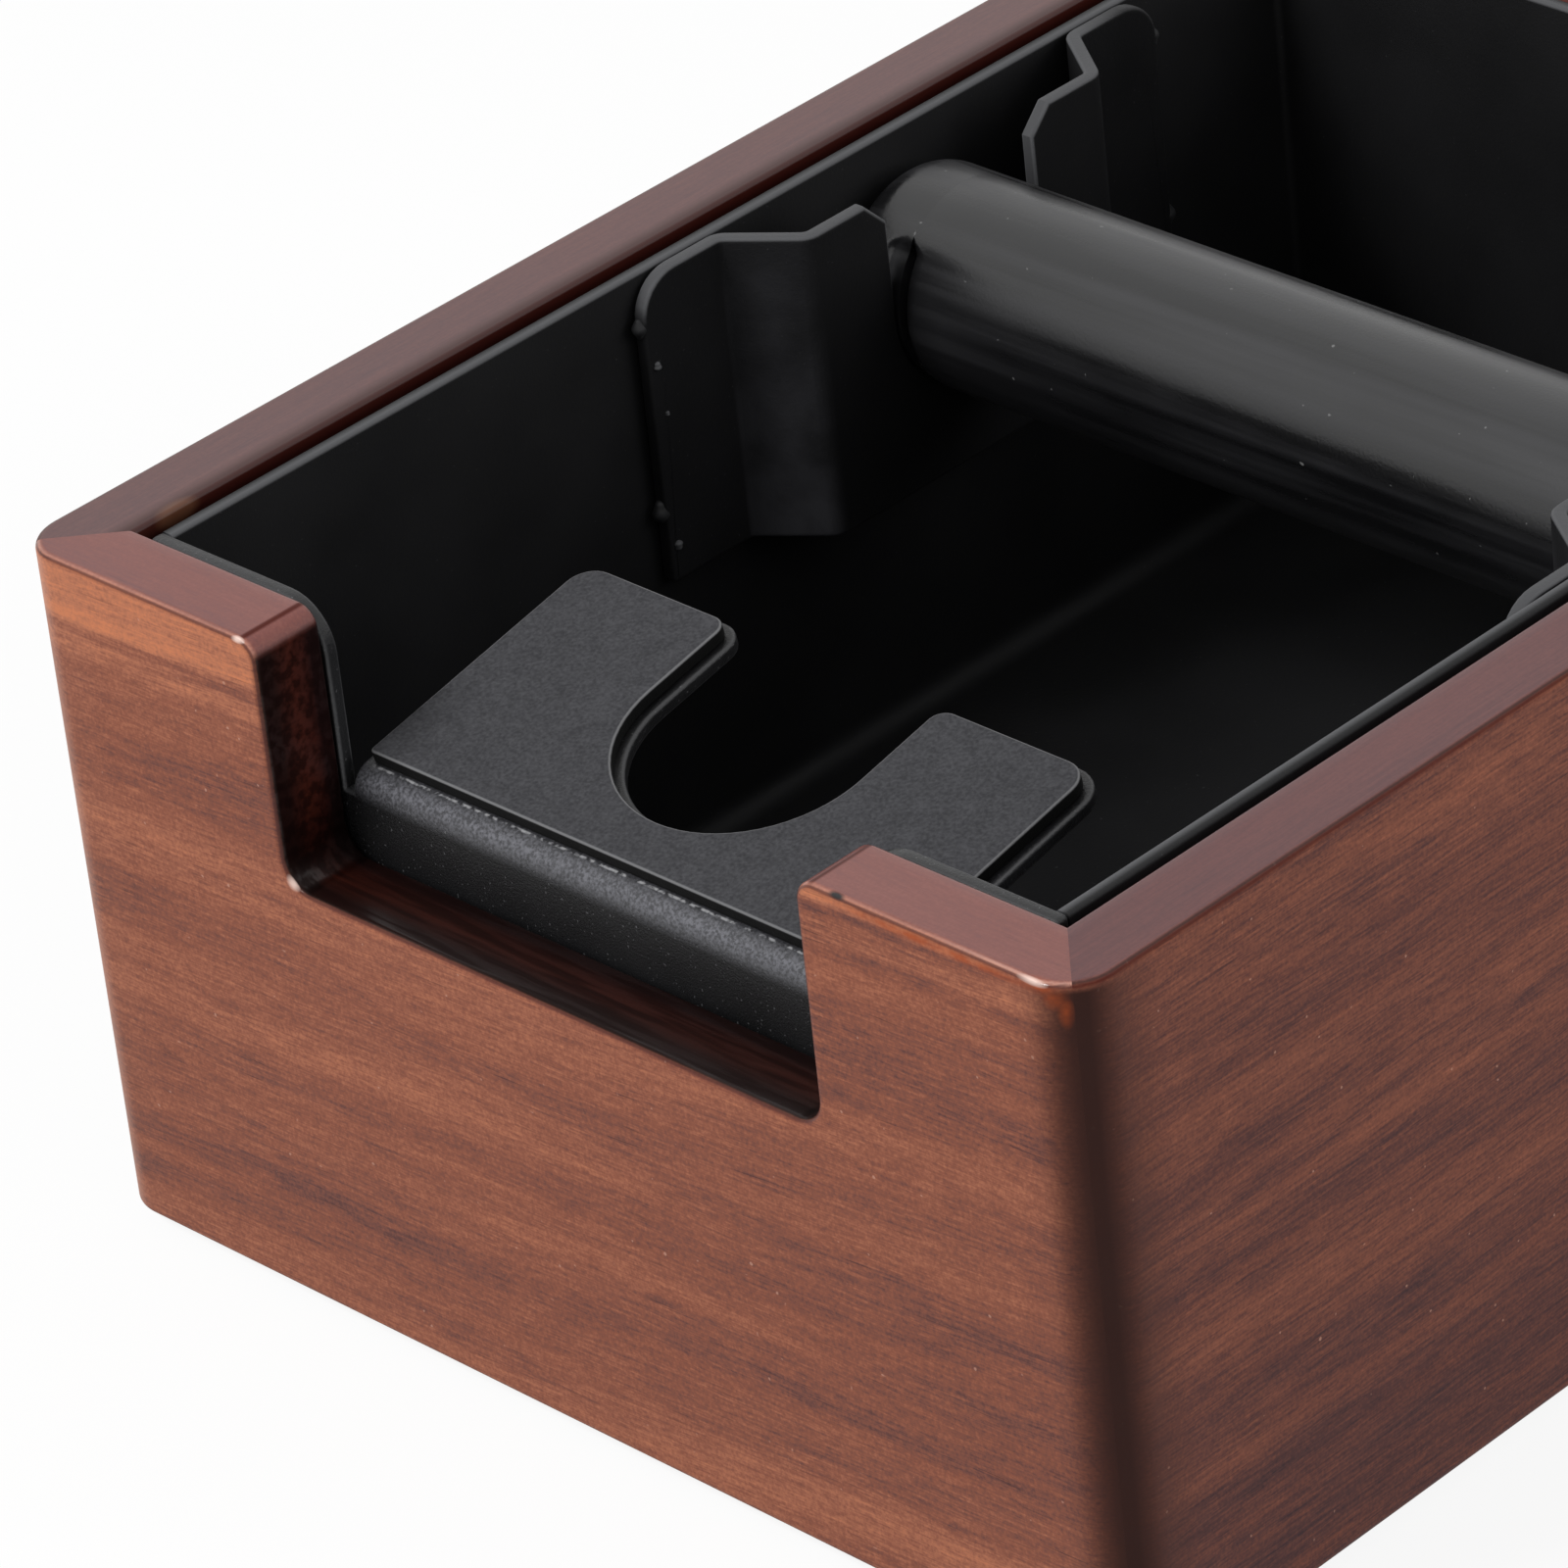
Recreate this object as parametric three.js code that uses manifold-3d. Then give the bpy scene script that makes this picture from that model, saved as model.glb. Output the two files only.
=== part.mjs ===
// Coffee grounds bin. A mitred wooden case on four rubber feet holds a black sheet-steel liner
// that lifts out. The liner's front folds back into a sloping rest for a portafilter, with a
// rubber mat on it, and two folded brackets inside carry a rubber-covered knock bar in open slots.
// Millimetres, +Z up. The origin is on the ground under the middle of the case, the front faces -Y.

import * as THREE from 'three';
import { mergeVertices } from 'three/addons/utils/BufferGeometryUtils.js';
import Module from 'manifold-3d';

const wasm = await Module();
wasm.setup();

// Wooden case, heights measured from the boards' bottom edge
const caseWidth = 155;
const caseDepth = 202;
const caseHeight = 85;
const boardThickness = 9.5;
const cornerRadius = 6;
const edgeRound = 1;
const mitreGap = 0.3;
const notchWidth = 79;
const notchDepth = 30;
const notchBottomRadius = 3.5;
const notchTopRadius = 2.6;

// Base board, let into a groove of the four boards
const baseThickness = 5;
const baseRise = 3;
const baseTongue = 3;
const grooveClearance = 0.3;

// Rubber feet under the base board, each with its screw
const footProud = 2;
const footRadius = 7;
const footRound = 0.8;
const footInset = 12;
const footHoleRadius = 1.9;
const pocketRadius = 3.6;
const pocketDepth = 2.6;
const screwHeadRadius = 3;
const screwHeadHeight = 1.6;
const screwHeadRound = 1;
const screwRadius = 1.5;
const screwGrip = 4;
const pilotClearance = 0.3;

// Liner of folded sheet steel
const sheet = 1.8;
const linerSideClearance = 1.7;
const linerFrontClearance = 0.3;
const linerRearClearance = 1;
const linerSeatClearance = 0.3;
const rimDrop = 0.5;
const floorBendRadius = 3;
const weldSeam = 0.3;
const linerNotchTopRadius = 6;
const linerNotchBottomRadius = 0.5;

// Sloping rest: its bend starts below the rim, with its radius on the outside of the sheet
const restDrop = 22.2;
const restBendRadius = 3;
const restSlopeDegrees = 11.2;
const restLip = 1.1;

// Rubber mat on the rest, lengths measured up the slope from its front edge
const matWidth = 74.4;
const matLength = 34.5;
const matThickness = 1.5;
const matGlueGap = 0.3;
const matCornerRadius = 3.3;
const matSlotRadius = 15.5;
const matSlotCentre = 21.8;
const matMouthRadius = 2;

// Knock bar, placed by its axis from the case's back face and from the liner's rim
const barFromBack = 78.3;
const barDrop = 16;
const barRadius = 12.5;
const barRound = 1.2;
const headRound = 5;
const headGap = 0.4;
const crownHalf = 8.5;
const crownDepth = 5;
const bracketPlay = 0.4;
const slotPlay = 0.3;
const rubberSeam = 0.3;
const coreRadius = 6;
const coreClearance = 0.3;
const coreCover = 3;

// Folded brackets for the bar, half lengths from the bar's axis, heights down from the rim
const bracketHalf = 42.9;
const bracketRampHalf = 29.2;
const bracketFlatHalf = 23.3;
const bracketStandoff = 8.6;
const bracketHeight = 38.8;
const bracketSeam = 0.3;
const bracketCornerRadius = 5.5;
const slotRadius = 12.1;
const slotMouthWidth = 3.2;
const slotMouthDepth = 3.2;
const beadRadius = 0.9;
const beadLength = 3.3;
const beadDrops = [6, 29.6];

// One overrun for every cut, and one overlap for pieces that are joined
const overrun = 5;
const overlap = 2;

// Steps on round shapes
const arcSteps = 6;
const roundSteps = 2;
const bevelSteps = 3;
const turnSteps = 36;
const smallTurnSteps = 20;
const beadSteps = 8;

// Places that follow from the sizes
const slope = THREE.MathUtils.degToRad(restSlopeDegrees);
const quarter = Math.PI / 2;
const halfWidth = caseWidth / 2;
const halfDepth = caseDepth / 2;
const innerHalfWidth = halfWidth - boardThickness;
const innerHalfDepth = halfDepth - boardThickness;
const notchHalf = notchWidth / 2;
const baseTop = baseRise + baseThickness;
const footHeight = footProud + baseRise;
const linerHalf = innerHalfWidth - linerSideClearance;
const linerFront = linerFrontClearance - innerHalfDepth;
const linerRear = innerHalfDepth - linerRearClearance;
const linerBottom = baseTop + linerSeatClearance;
const rim = caseHeight - rimDrop;
const wallFace = linerHalf - sheet;
const restBendHeight = rim - restDrop;
const restY = linerFront + restBendRadius - restBendRadius * Math.sin(slope);
const restZ = restBendHeight + restBendRadius * Math.cos(slope);
const barY = halfDepth - barFromBack;
const barHeight = rim - barDrop;
const bracketBottom = rim - bracketHeight;
const bracketBack = wallFace - bracketSeam - bracketStandoff;
const bracketFace = bracketBack - sheet;
const sleeveHalf = bracketFace - bracketPlay;
const headEnd = wallFace - headGap;
const neckRadius = slotRadius - slotPlay;
const coreHoleRadius = coreRadius + coreClearance;

// Axes for shapes drawn flat: the first two are the shape's own, the third is its thickness
const axisX = new THREE.Vector3(1, 0, 0);
const axisY = new THREE.Vector3(0, 1, 0);
const axisZ = new THREE.Vector3(0, 0, 1);
const upright = new THREE.Matrix4();
const standingAcross = new THREE.Matrix4().makeBasis(axisX, axisZ, axisY.clone().negate());
const standingAlong = new THREE.Matrix4().makeBasis(axisY, axisZ, axisX);
const turnedOnZ = new THREE.Matrix4().makeBasis(axisX, axisZ, axisY.clone().negate());
const turnedOnX = new THREE.Matrix4().makeBasis(axisY, axisX, axisZ.clone().negate());

// A closed geometry becomes a solid that can be cut and joined
function toSolid(geometry) {
  const bare = geometry.clone();
  bare.deleteAttribute('normal');
  bare.deleteAttribute('uv');
  const merged = mergeVertices(bare);
  const corners = merged.index.array;
  const kept = [];
  for (let first = 0; first < corners.length; first += 3) {
    const [a, b, c] = corners.slice(first, first + 3);
    if (a !== b && b !== c && c !== a) {
      kept.push(a, b, c);
    }
  }
  const vertProperties = new Float32Array(merged.attributes.position.array);
  const triVerts = new Uint32Array(kept);
  return new wasm.Manifold(new wasm.Mesh({ numProp: 3, vertProperties, triVerts }));
}

// A finished solid becomes a named mesh with a material of its own
function toMesh(name, solid, makeMaterial) {
  const { vertProperties, triVerts } = solid.getMesh();
  const geometry = new THREE.BufferGeometry();
  geometry.setAttribute('position', new THREE.BufferAttribute(new Float32Array(vertProperties), 3));
  geometry.setIndex(new THREE.BufferAttribute(new Uint32Array(triVerts), 1));
  geometry.computeVertexNormals();
  const mesh = new THREE.Mesh(geometry, makeMaterial());
  mesh.name = name;
  return mesh;
}

// A flat outline given a thickness from 0 up its third axis, then laid along the given axes
function prism(outline, thickness, axes, lift = 0) {
  const geometry = new THREE.ExtrudeGeometry(outline, {
    depth: thickness,
    bevelEnabled: false,
    curveSegments: arcSteps,
  });
  geometry.translate(0, 0, lift);
  geometry.applyMatrix4(axes);
  return toSolid(geometry);
}

// A profile of radius against height, turned about the given axis
function turned(profile, axes, steps) {
  const geometry = new THREE.LatheGeometry(profile.getPoints(roundSteps), steps);
  geometry.applyMatrix4(axes);
  return toSolid(geometry);
}

// A box between two corners
function block(low, high) {
  const size = new THREE.Vector3().subVectors(high, low);
  const middle = new THREE.Vector3().addVectors(low, high).multiplyScalar(1 / 2);
  const geometry = new THREE.BoxGeometry(size.x, size.y, size.z);
  geometry.translate(middle.x, middle.y, middle.z);
  return toSolid(geometry);
}

// Materials
function wood() {
  return new THREE.MeshStandardMaterial({ color: 0x8d5845, roughness: 0.38, metalness: 0 });
}

function plywood() {
  return new THREE.MeshStandardMaterial({ color: 0xa98460, roughness: 0.7, metalness: 0 });
}

function coatedSteel() {
  return new THREE.MeshStandardMaterial({ color: 0x17171a, roughness: 0.55, metalness: 0.1 });
}

function greyRubber() {
  return new THREE.MeshStandardMaterial({ color: 0x4d4d50, roughness: 0.85, metalness: 0 });
}

function blackRubber() {
  return new THREE.MeshStandardMaterial({ color: 0x29292b, roughness: 0.6, metalness: 0 });
}

function bareSteel() {
  return new THREE.MeshStandardMaterial({ color: 0xb4b5b8, roughness: 0.3, metalness: 1 });
}

// Outline of a rectangle with round corners, centred
function roundedRectangle(width, depth, radius) {
  const x = width / 2;
  const y = depth / 2;
  const outline = new THREE.Shape();
  outline.moveTo(radius - x, -y);
  outline.lineTo(x - radius, -y);
  outline.absarc(x - radius, radius - y, radius, -quarter, 0);
  outline.lineTo(x, y - radius);
  outline.absarc(x - radius, y - radius, radius, 0, quarter);
  outline.lineTo(radius - x, y);
  outline.absarc(radius - x, y - radius, radius, quarter, 2 * quarter);
  outline.lineTo(-x, radius - y);
  outline.absarc(radius - x, radius - y, radius, 2 * quarter, 3 * quarter);
  return outline;
}

// Outline of what a notch takes out of a top edge: hollow corners below, round shoulders above
function notchOutline(half, bottom, top, bottomRadius, topRadius) {
  const outline = new THREE.Shape();
  outline.moveTo(-half - topRadius, top + overrun);
  outline.lineTo(-half - topRadius, top);
  outline.absarc(-half - topRadius, top - topRadius, topRadius, quarter, 0, true);
  outline.lineTo(-half, bottom + bottomRadius);
  outline.absarc(bottomRadius - half, bottom + bottomRadius, bottomRadius, 2 * quarter, 3 * quarter);
  outline.lineTo(half - bottomRadius, bottom);
  outline.absarc(half - bottomRadius, bottom + bottomRadius, bottomRadius, -quarter, 0);
  outline.lineTo(half, top - topRadius);
  outline.absarc(half + topRadius, top - topRadius, topRadius, 2 * quarter, quarter, true);
  outline.lineTo(half + topRadius, top + overrun);
  return outline;
}

// The case as one ring, before it is cut into boards
function caseRing() {
  const plan = roundedRectangle(
    caseWidth - 2 * edgeRound,
    caseDepth - 2 * edgeRound,
    cornerRadius - edgeRound,
  );
  const geometry = new THREE.ExtrudeGeometry(plan, {
    depth: caseHeight - 2 * edgeRound,
    bevelThickness: edgeRound,
    bevelSize: edgeRound,
    bevelSegments: bevelSteps,
    curveSegments: arcSteps,
  });
  geometry.translate(0, 0, edgeRound);
  const hollow = block(
    new THREE.Vector3(-innerHalfWidth, -innerHalfDepth, -overrun),
    new THREE.Vector3(innerHalfWidth, innerHalfDepth, caseHeight + overrun),
  );
  const reach = baseTongue + grooveClearance;
  const groove = block(
    new THREE.Vector3(-innerHalfWidth - reach, -innerHalfDepth - reach, baseRise - grooveClearance),
    new THREE.Vector3(innerHalfWidth + reach, innerHalfDepth + reach, baseTop + grooveClearance),
  );
  const bottom = caseHeight - notchDepth;
  const opening = notchOutline(notchHalf, bottom, caseHeight, notchBottomRadius, notchTopRadius);
  const notch = prism(opening, boardThickness + 2 * overrun, standingAcross, innerHalfDepth - overrun);
  return toSolid(geometry).subtract(hollow).subtract(groove).subtract(notch);
}

// The space of one board, between the mitres at its two ends, for a board along X on the -Y side
function mitreSpace(halfLength, halfAcross, turn) {
  const play = mitreGap / Math.SQRT2;
  const outerEnd = halfLength + overrun - play;
  const innerEnd = halfLength - boardThickness - overrun - play;
  const outline = new THREE.Shape();
  outline.moveTo(-outerEnd, -halfAcross - overrun);
  outline.lineTo(outerEnd, -halfAcross - overrun);
  outline.lineTo(innerEnd, boardThickness + overrun - halfAcross);
  outline.lineTo(-innerEnd, boardThickness + overrun - halfAcross);
  const axes = new THREE.Matrix4().makeRotationZ(turn);
  return prism(outline, caseHeight + 2 * overrun, axes, -overrun);
}

function makeBoards() {
  const ring = caseRing();
  const frontSpace = mitreSpace(halfWidth, halfDepth, 0);
  const rightSpace = mitreSpace(halfDepth, halfWidth, quarter);
  const backSpace = mitreSpace(halfWidth, halfDepth, 2 * quarter);
  const leftSpace = mitreSpace(halfDepth, halfWidth, 3 * quarter);
  return [
    toMesh('front_board', ring.intersect(frontSpace), wood),
    toMesh('right_board', ring.intersect(rightSpace), wood),
    toMesh('back_board', ring.intersect(backSpace), wood),
    toMesh('left_board', ring.intersect(leftSpace), wood),
  ];
}

// Feet stand in from the boards' inner faces
function footPlaces() {
  const x = innerHalfWidth - footInset;
  const y = innerHalfDepth - footInset;
  return {
    front_left: [-x, -y],
    front_right: [x, -y],
    rear_left: [-x, y],
    rear_right: [x, y],
  };
}

function makeBase() {
  const x = innerHalfWidth + baseTongue;
  const y = innerHalfDepth + baseTongue;
  let board = block(new THREE.Vector3(-x, -y, baseRise), new THREE.Vector3(x, y, baseTop));
  const holeRadius = screwRadius + pilotClearance;
  const holeDepth = screwGrip + pilotClearance;
  for (const [footX, footY] of Object.values(footPlaces())) {
    const pilot = new THREE.CylinderGeometry(holeRadius, holeRadius, holeDepth + overrun, smallTurnSteps);
    pilot.applyMatrix4(turnedOnZ);
    pilot.translate(footX, footY, baseRise + (holeDepth - overrun) / 2);
    board = board.subtract(toSolid(pilot));
  }
  return toMesh('base_board', board, plywood);
}

// A foot stands on the ground at height 0 of its own frame
function makeFoot(name) {
  const profile = new THREE.Path();
  profile.moveTo(pocketRadius, 0);
  profile.lineTo(footRadius - footRound, 0);
  profile.absarc(footRadius - footRound, footRound, footRound, -quarter, 0);
  profile.lineTo(footRadius, footHeight);
  profile.lineTo(footHoleRadius, footHeight);
  profile.lineTo(footHoleRadius, pocketDepth);
  profile.lineTo(pocketRadius, pocketDepth);
  profile.lineTo(pocketRadius, 0);
  return toMesh(name, turned(profile, turnedOnZ, smallTurnSteps), blackRubber);
}

// A screw's head is up in the foot's pocket and its shank ends in the base board
function makeScrew(name) {
  const headBottom = pocketDepth - screwHeadHeight;
  const profile = new THREE.Path();
  profile.moveTo(0, headBottom);
  profile.lineTo(screwHeadRadius - screwHeadRound, headBottom);
  profile.absarc(screwHeadRadius - screwHeadRound, headBottom + screwHeadRound, screwHeadRound, -quarter, 0);
  profile.lineTo(screwHeadRadius, pocketDepth);
  profile.lineTo(screwRadius, pocketDepth);
  profile.lineTo(screwRadius, footHeight + screwGrip);
  profile.lineTo(0, footHeight + screwGrip);
  return toMesh(name, turned(profile, turnedOnZ, smallTurnSteps), bareSteel);
}

function makeFeet() {
  const group = new THREE.Group();
  group.position.z = -footProud;
  for (const [place, [x, y]] of Object.entries(footPlaces())) {
    const foot = makeFoot(`foot_${place}`);
    const screw = makeScrew(`foot_screw_${place}`);
    foot.position.set(x, y, 0);
    screw.position.set(x, y, 0);
    group.add(foot, screw);
  }
  return group;
}

// Outline of the liner across its width, with the two floor bends
function acrossOutline(half, bottom, top, radius) {
  const outline = new THREE.Shape();
  outline.moveTo(half, top);
  outline.lineTo(-half, top);
  outline.lineTo(-half, bottom + radius);
  outline.absarc(radius - half, bottom + radius, radius, 2 * quarter, 3 * quarter);
  outline.lineTo(half - radius, bottom);
  outline.absarc(half - radius, bottom + radius, radius, -quarter, 0);
  return outline;
}

// Outline of the tray along its length, with the bend from the floor into the rear wall
function alongOutline(front, rear, bottom, top, radius) {
  const outline = new THREE.Shape();
  outline.moveTo(rear, top);
  outline.lineTo(front, top);
  outline.lineTo(front, bottom);
  outline.lineTo(rear - radius, bottom);
  outline.absarc(rear - radius, bottom + radius, radius, -quarter, 0);
  return outline;
}

// The space inside the tray's outer faces, or inside its inner faces at an inset of one sheet
function traySpace(inset, extra) {
  const radius = floorBendRadius + sheet - inset;
  const half = linerHalf - inset;
  const bottom = linerBottom + inset;
  const front = linerFront + sheet + weldSeam - extra;
  const rear = linerRear - inset;
  const across = acrossOutline(half, bottom, rim + extra, radius);
  const along = alongOutline(front, rear, bottom, rim + extra, radius);
  const acrossPrism = prism(across, caseDepth, standingAcross, -halfDepth);
  const alongPrism = prism(along, caseWidth, standingAlong, -halfWidth);
  return acrossPrism.intersect(alongPrism);
}

function makeTray() {
  return toMesh('liner_tray', traySpace(0, 0).subtract(traySpace(sheet, overrun)), coatedSteel);
}

// Outline of the rest or its mat, seen square to the slope: a plate with a U cut in from the rear
function restOutline(width, length, front, cornerRadius, slotEdgeRadius, mouthRadius) {
  const half = width / 2;
  const outline = new THREE.Shape();
  outline.moveTo(-half, front);
  outline.lineTo(half, front);
  outline.lineTo(half, length - cornerRadius);
  outline.absarc(half - cornerRadius, length - cornerRadius, cornerRadius, 0, quarter);
  outline.lineTo(slotEdgeRadius + mouthRadius, length);
  outline.absarc(slotEdgeRadius + mouthRadius, length - mouthRadius, mouthRadius, quarter, 2 * quarter);
  outline.lineTo(slotEdgeRadius, matSlotCentre);
  outline.absarc(0, matSlotCentre, slotEdgeRadius, 0, -2 * quarter, true);
  outline.lineTo(-slotEdgeRadius, length - mouthRadius);
  outline.absarc(-slotEdgeRadius - mouthRadius, length - mouthRadius, mouthRadius, 0, quarter);
  outline.lineTo(cornerRadius - half, length);
  outline.absarc(cornerRadius - half, length - cornerRadius, cornerRadius, quarter, 2 * quarter);
  return outline;
}

// The frame of the rest: its origin is where the bend ends on top of the sheet, +Y runs up the slope
function restAxes() {
  const axes = new THREE.Matrix4().makeRotationX(slope);
  axes.setPosition(0, restY, restZ);
  return axes;
}

// Side view of the bend and the sloping plate, one sheet thick
function restSection() {
  const centre = linerFront + restBendRadius;
  const innerRadius = restBendRadius - sheet;
  const length = matLength + restLip;
  const endY = restY + length * Math.cos(slope);
  const endZ = restZ + length * Math.sin(slope);
  const outline = new THREE.Shape();
  outline.moveTo(linerFront, restBendHeight - overlap);
  outline.absarc(centre, restBendHeight, restBendRadius, 2 * quarter, quarter + slope, true);
  outline.lineTo(endY, endZ);
  outline.lineTo(endY + sheet * Math.sin(slope), endZ - sheet * Math.cos(slope));
  outline.absarc(centre, restBendHeight, innerRadius, quarter + slope, 2 * quarter);
  outline.lineTo(linerFront + sheet, restBendHeight - overlap);
  return outline;
}

function makeLinerFront() {
  const wallOutline = acrossOutline(linerHalf, linerBottom, rim, floorBendRadius + sheet);
  const wall = prism(wallOutline, sheet, standingAcross, -linerFront - sheet);
  const notch = notchOutline(notchHalf, restBendHeight, rim, linerNotchBottomRadius, linerNotchTopRadius);
  const opening = prism(notch, sheet + 2 * overrun, standingAcross, -linerFront - sheet - overrun);

  const restWidth = matWidth + 2 * restLip;
  const fold = prism(restSection(), restWidth, standingAlong, -restWidth / 2);
  const foldReach = 3 * restBendRadius + overlap;
  const plan = restOutline(
    restWidth,
    matLength + restLip,
    -foldReach,
    matCornerRadius + restLip,
    matSlotRadius - restLip,
    matMouthRadius + restLip,
  );
  const planSpace = prism(plan, foldReach + overrun, restAxes(), -foldReach);
  return toMesh('liner_front', wall.subtract(opening).add(fold.intersect(planSpace)), coatedSteel);
}

function makeMat() {
  const outline = restOutline(matWidth, matLength, 0, matCornerRadius, matSlotRadius, matMouthRadius);
  const group = new THREE.Group();
  group.position.set(0, restY, restZ);
  group.rotation.x = slope;
  group.add(toMesh('rest_mat', prism(outline, matThickness, upright, matGlueGap), greyRubber));
  return group;
}

// A strip of sheet folded along a line of corners, its thickness on the right of the line
function foldedStrip(corners, thickness) {
  const offset = corners.map((corner, i) => {
    const before = corners[Math.max(i - 1, 0)];
    const after = corners[Math.min(i + 1, corners.length - 1)];
    const incoming = (i > 0 ? corner.clone().sub(before) : after.clone().sub(corner)).normalize();
    const outgoing = (after !== corner ? after.clone().sub(corner) : corner.clone().sub(before)).normalize();
    const normal = new THREE.Vector2(incoming.y + outgoing.y, -incoming.x - outgoing.x);
    return normal.multiplyScalar(thickness / (1 + incoming.dot(outgoing))).add(corner);
  });
  return new THREE.Shape([...corners, ...offset.reverse()]);
}

// The bracket's face seen along X: round upper corners and an open slot with a flared mouth
function bracketOutline() {
  const radius = bracketCornerRadius;
  const mouth = slotRadius + slotMouthWidth;
  const outline = new THREE.Shape();
  outline.moveTo(-bracketHalf, bracketBottom);
  outline.lineTo(bracketHalf, bracketBottom);
  outline.lineTo(bracketHalf, rim - radius);
  outline.absarc(bracketHalf - radius, rim - radius, radius, 0, quarter);
  outline.lineTo(mouth, rim);
  outline.lineTo(slotRadius, rim - slotMouthDepth);
  outline.lineTo(slotRadius, barHeight);
  outline.absarc(0, barHeight, slotRadius, 0, -2 * quarter, true);
  outline.lineTo(-slotRadius, rim - slotMouthDepth);
  outline.lineTo(-mouth, rim);
  outline.lineTo(radius - bracketHalf, rim);
  outline.absarc(radius - bracketHalf, rim - radius, radius, quarter, 2 * quarter);
  return outline;
}

// One tack weld, a small bead on a wing's upright edge
function weldBead(y, z) {
  const geometry = new THREE.SphereGeometry(beadRadius, beadSteps, beadSteps);
  geometry.rotateX(quarter);
  geometry.scale(1, 1, beadLength / beadRadius / 2);
  geometry.translate(bracketSeam + beadRadius, y, z);
  return toSolid(geometry);
}

// A bracket in its own frame: the tray's wall at X = 0, the bar's axis at Y = 0
function bracketSolid() {
  const wing = bracketSeam;
  const flat = bracketSeam + bracketStandoff;
  const line = [
    new THREE.Vector2(wing, -bracketHalf),
    new THREE.Vector2(wing, -bracketRampHalf),
    new THREE.Vector2(flat, -bracketFlatHalf),
    new THREE.Vector2(flat, bracketFlatHalf),
    new THREE.Vector2(wing, bracketRampHalf),
    new THREE.Vector2(wing, bracketHalf),
  ];
  const strip = prism(foldedStrip(line, sheet), bracketHeight, upright, bracketBottom);
  const face = prism(bracketOutline(), flat + sheet + 2 * overrun, standingAlong, -overrun);
  let solid = strip.intersect(face);
  for (const drop of beadDrops) {
    solid = solid.add(weldBead(-bracketHalf, rim - drop)).add(weldBead(bracketHalf, rim - drop));
  }
  return solid;
}

function makeBrackets() {
  const left = toMesh('left_bar_holder', bracketSolid(), coatedSteel);
  const right = toMesh('right_bar_holder', bracketSolid(), coatedSteel);
  left.position.set(-wallFace, barY, 0);
  right.position.set(wallFace, barY, 0);
  right.rotation.z = 2 * quarter;
  return [left, right];
}

// The bar's pieces are turned about X, in a frame on the bar's axis
function makeCore() {
  const half = headEnd - coreCover - coreClearance;
  const profile = new THREE.Path();
  profile.moveTo(0, -half);
  profile.lineTo(coreRadius, -half);
  profile.lineTo(coreRadius, half);
  profile.lineTo(0, half);
  return toMesh('bar_core', turned(profile, turnedOnX, turnSteps), bareSteel);
}

function makeSleeve() {
  const profile = new THREE.Path();
  profile.moveTo(coreHoleRadius, -sleeveHalf);
  profile.lineTo(barRadius - barRound, -sleeveHalf);
  profile.absarc(barRadius - barRound, barRound - sleeveHalf, barRound, -quarter, 0);
  profile.lineTo(barRadius, sleeveHalf - barRound);
  profile.absarc(barRadius - barRound, sleeveHalf - barRound, barRound, 0, quarter);
  profile.lineTo(coreHoleRadius, sleeveHalf);
  profile.lineTo(coreHoleRadius, -sleeveHalf);
  return toMesh('bar_sleeve', turned(profile, turnedOnX, turnSteps), blackRubber);
}

// A rubber end: a head behind the bracket, a neck through its slot, and a blind hole for the core.
// The neck keeps the bar's full radius along its top, between the slot's two sides.
function makeBarEnd(name) {
  const headLength = headEnd - bracketBack - bracketPlay;
  const length = headEnd - sleeveHalf - rubberSeam;
  const profile = new THREE.Path();
  profile.moveTo(0, 0);
  profile.lineTo(barRadius - headRound, 0);
  profile.absarc(barRadius - headRound, headRound, headRound, -quarter, 0);
  profile.lineTo(barRadius, headLength);
  profile.lineTo(neckRadius, headLength);
  profile.lineTo(neckRadius, length);
  profile.lineTo(coreHoleRadius, length);
  profile.lineTo(coreHoleRadius, coreCover);
  profile.lineTo(0, coreCover);

  const crownLength = length - headLength + overlap;
  const crown = new THREE.CylinderGeometry(barRadius, barRadius, crownLength, turnSteps);
  crown.translate(0, length - crownLength / 2, 0);
  crown.applyMatrix4(turnedOnX);
  const crownSpace = block(
    new THREE.Vector3(0, -crownHalf, barRadius - crownDepth),
    new THREE.Vector3(length + overrun, crownHalf, barRadius + overrun),
  );
  const end = turned(profile, turnedOnX, turnSteps).add(toSolid(crown).intersect(crownSpace));
  return toMesh(name, end, blackRubber);
}

function makeBar() {
  const left = makeBarEnd('bar_end_left');
  const right = makeBarEnd('bar_end_right');
  left.position.x = -headEnd;
  right.position.x = headEnd;
  right.rotation.z = 2 * quarter;
  const group = new THREE.Group();
  group.position.set(0, barY, barHeight);
  group.add(makeCore(), makeSleeve(), left, right);
  return group;
}

// The wooden case with its feet, the liner inside it, and the bar in the liner's brackets
const liner = new THREE.Group();
liner.add(makeTray(), makeLinerFront(), makeMat(), ...makeBrackets(), makeBar());

const bin = new THREE.Group();
bin.position.z = footProud;
bin.add(...makeBoards(), makeBase(), makeFeet(), liner);

const part = new THREE.Group();
part.add(bin);

export default part;
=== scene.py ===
# %% [markdown]
# Coffee grounds bin: a dressing lesson
#
# The bin is a mitred walnut-brown case around a black sheet-steel liner, with a rubber knock bar
# across it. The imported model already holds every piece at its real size, so this script loads it as
# a fixed frame and dresses it: each hard edge gets its true rounding, each sheet its folds, and each
# surface its finish.

import math

import bmesh
import bpy
import numpy as np
from mathutils import Matrix, Vector


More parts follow.
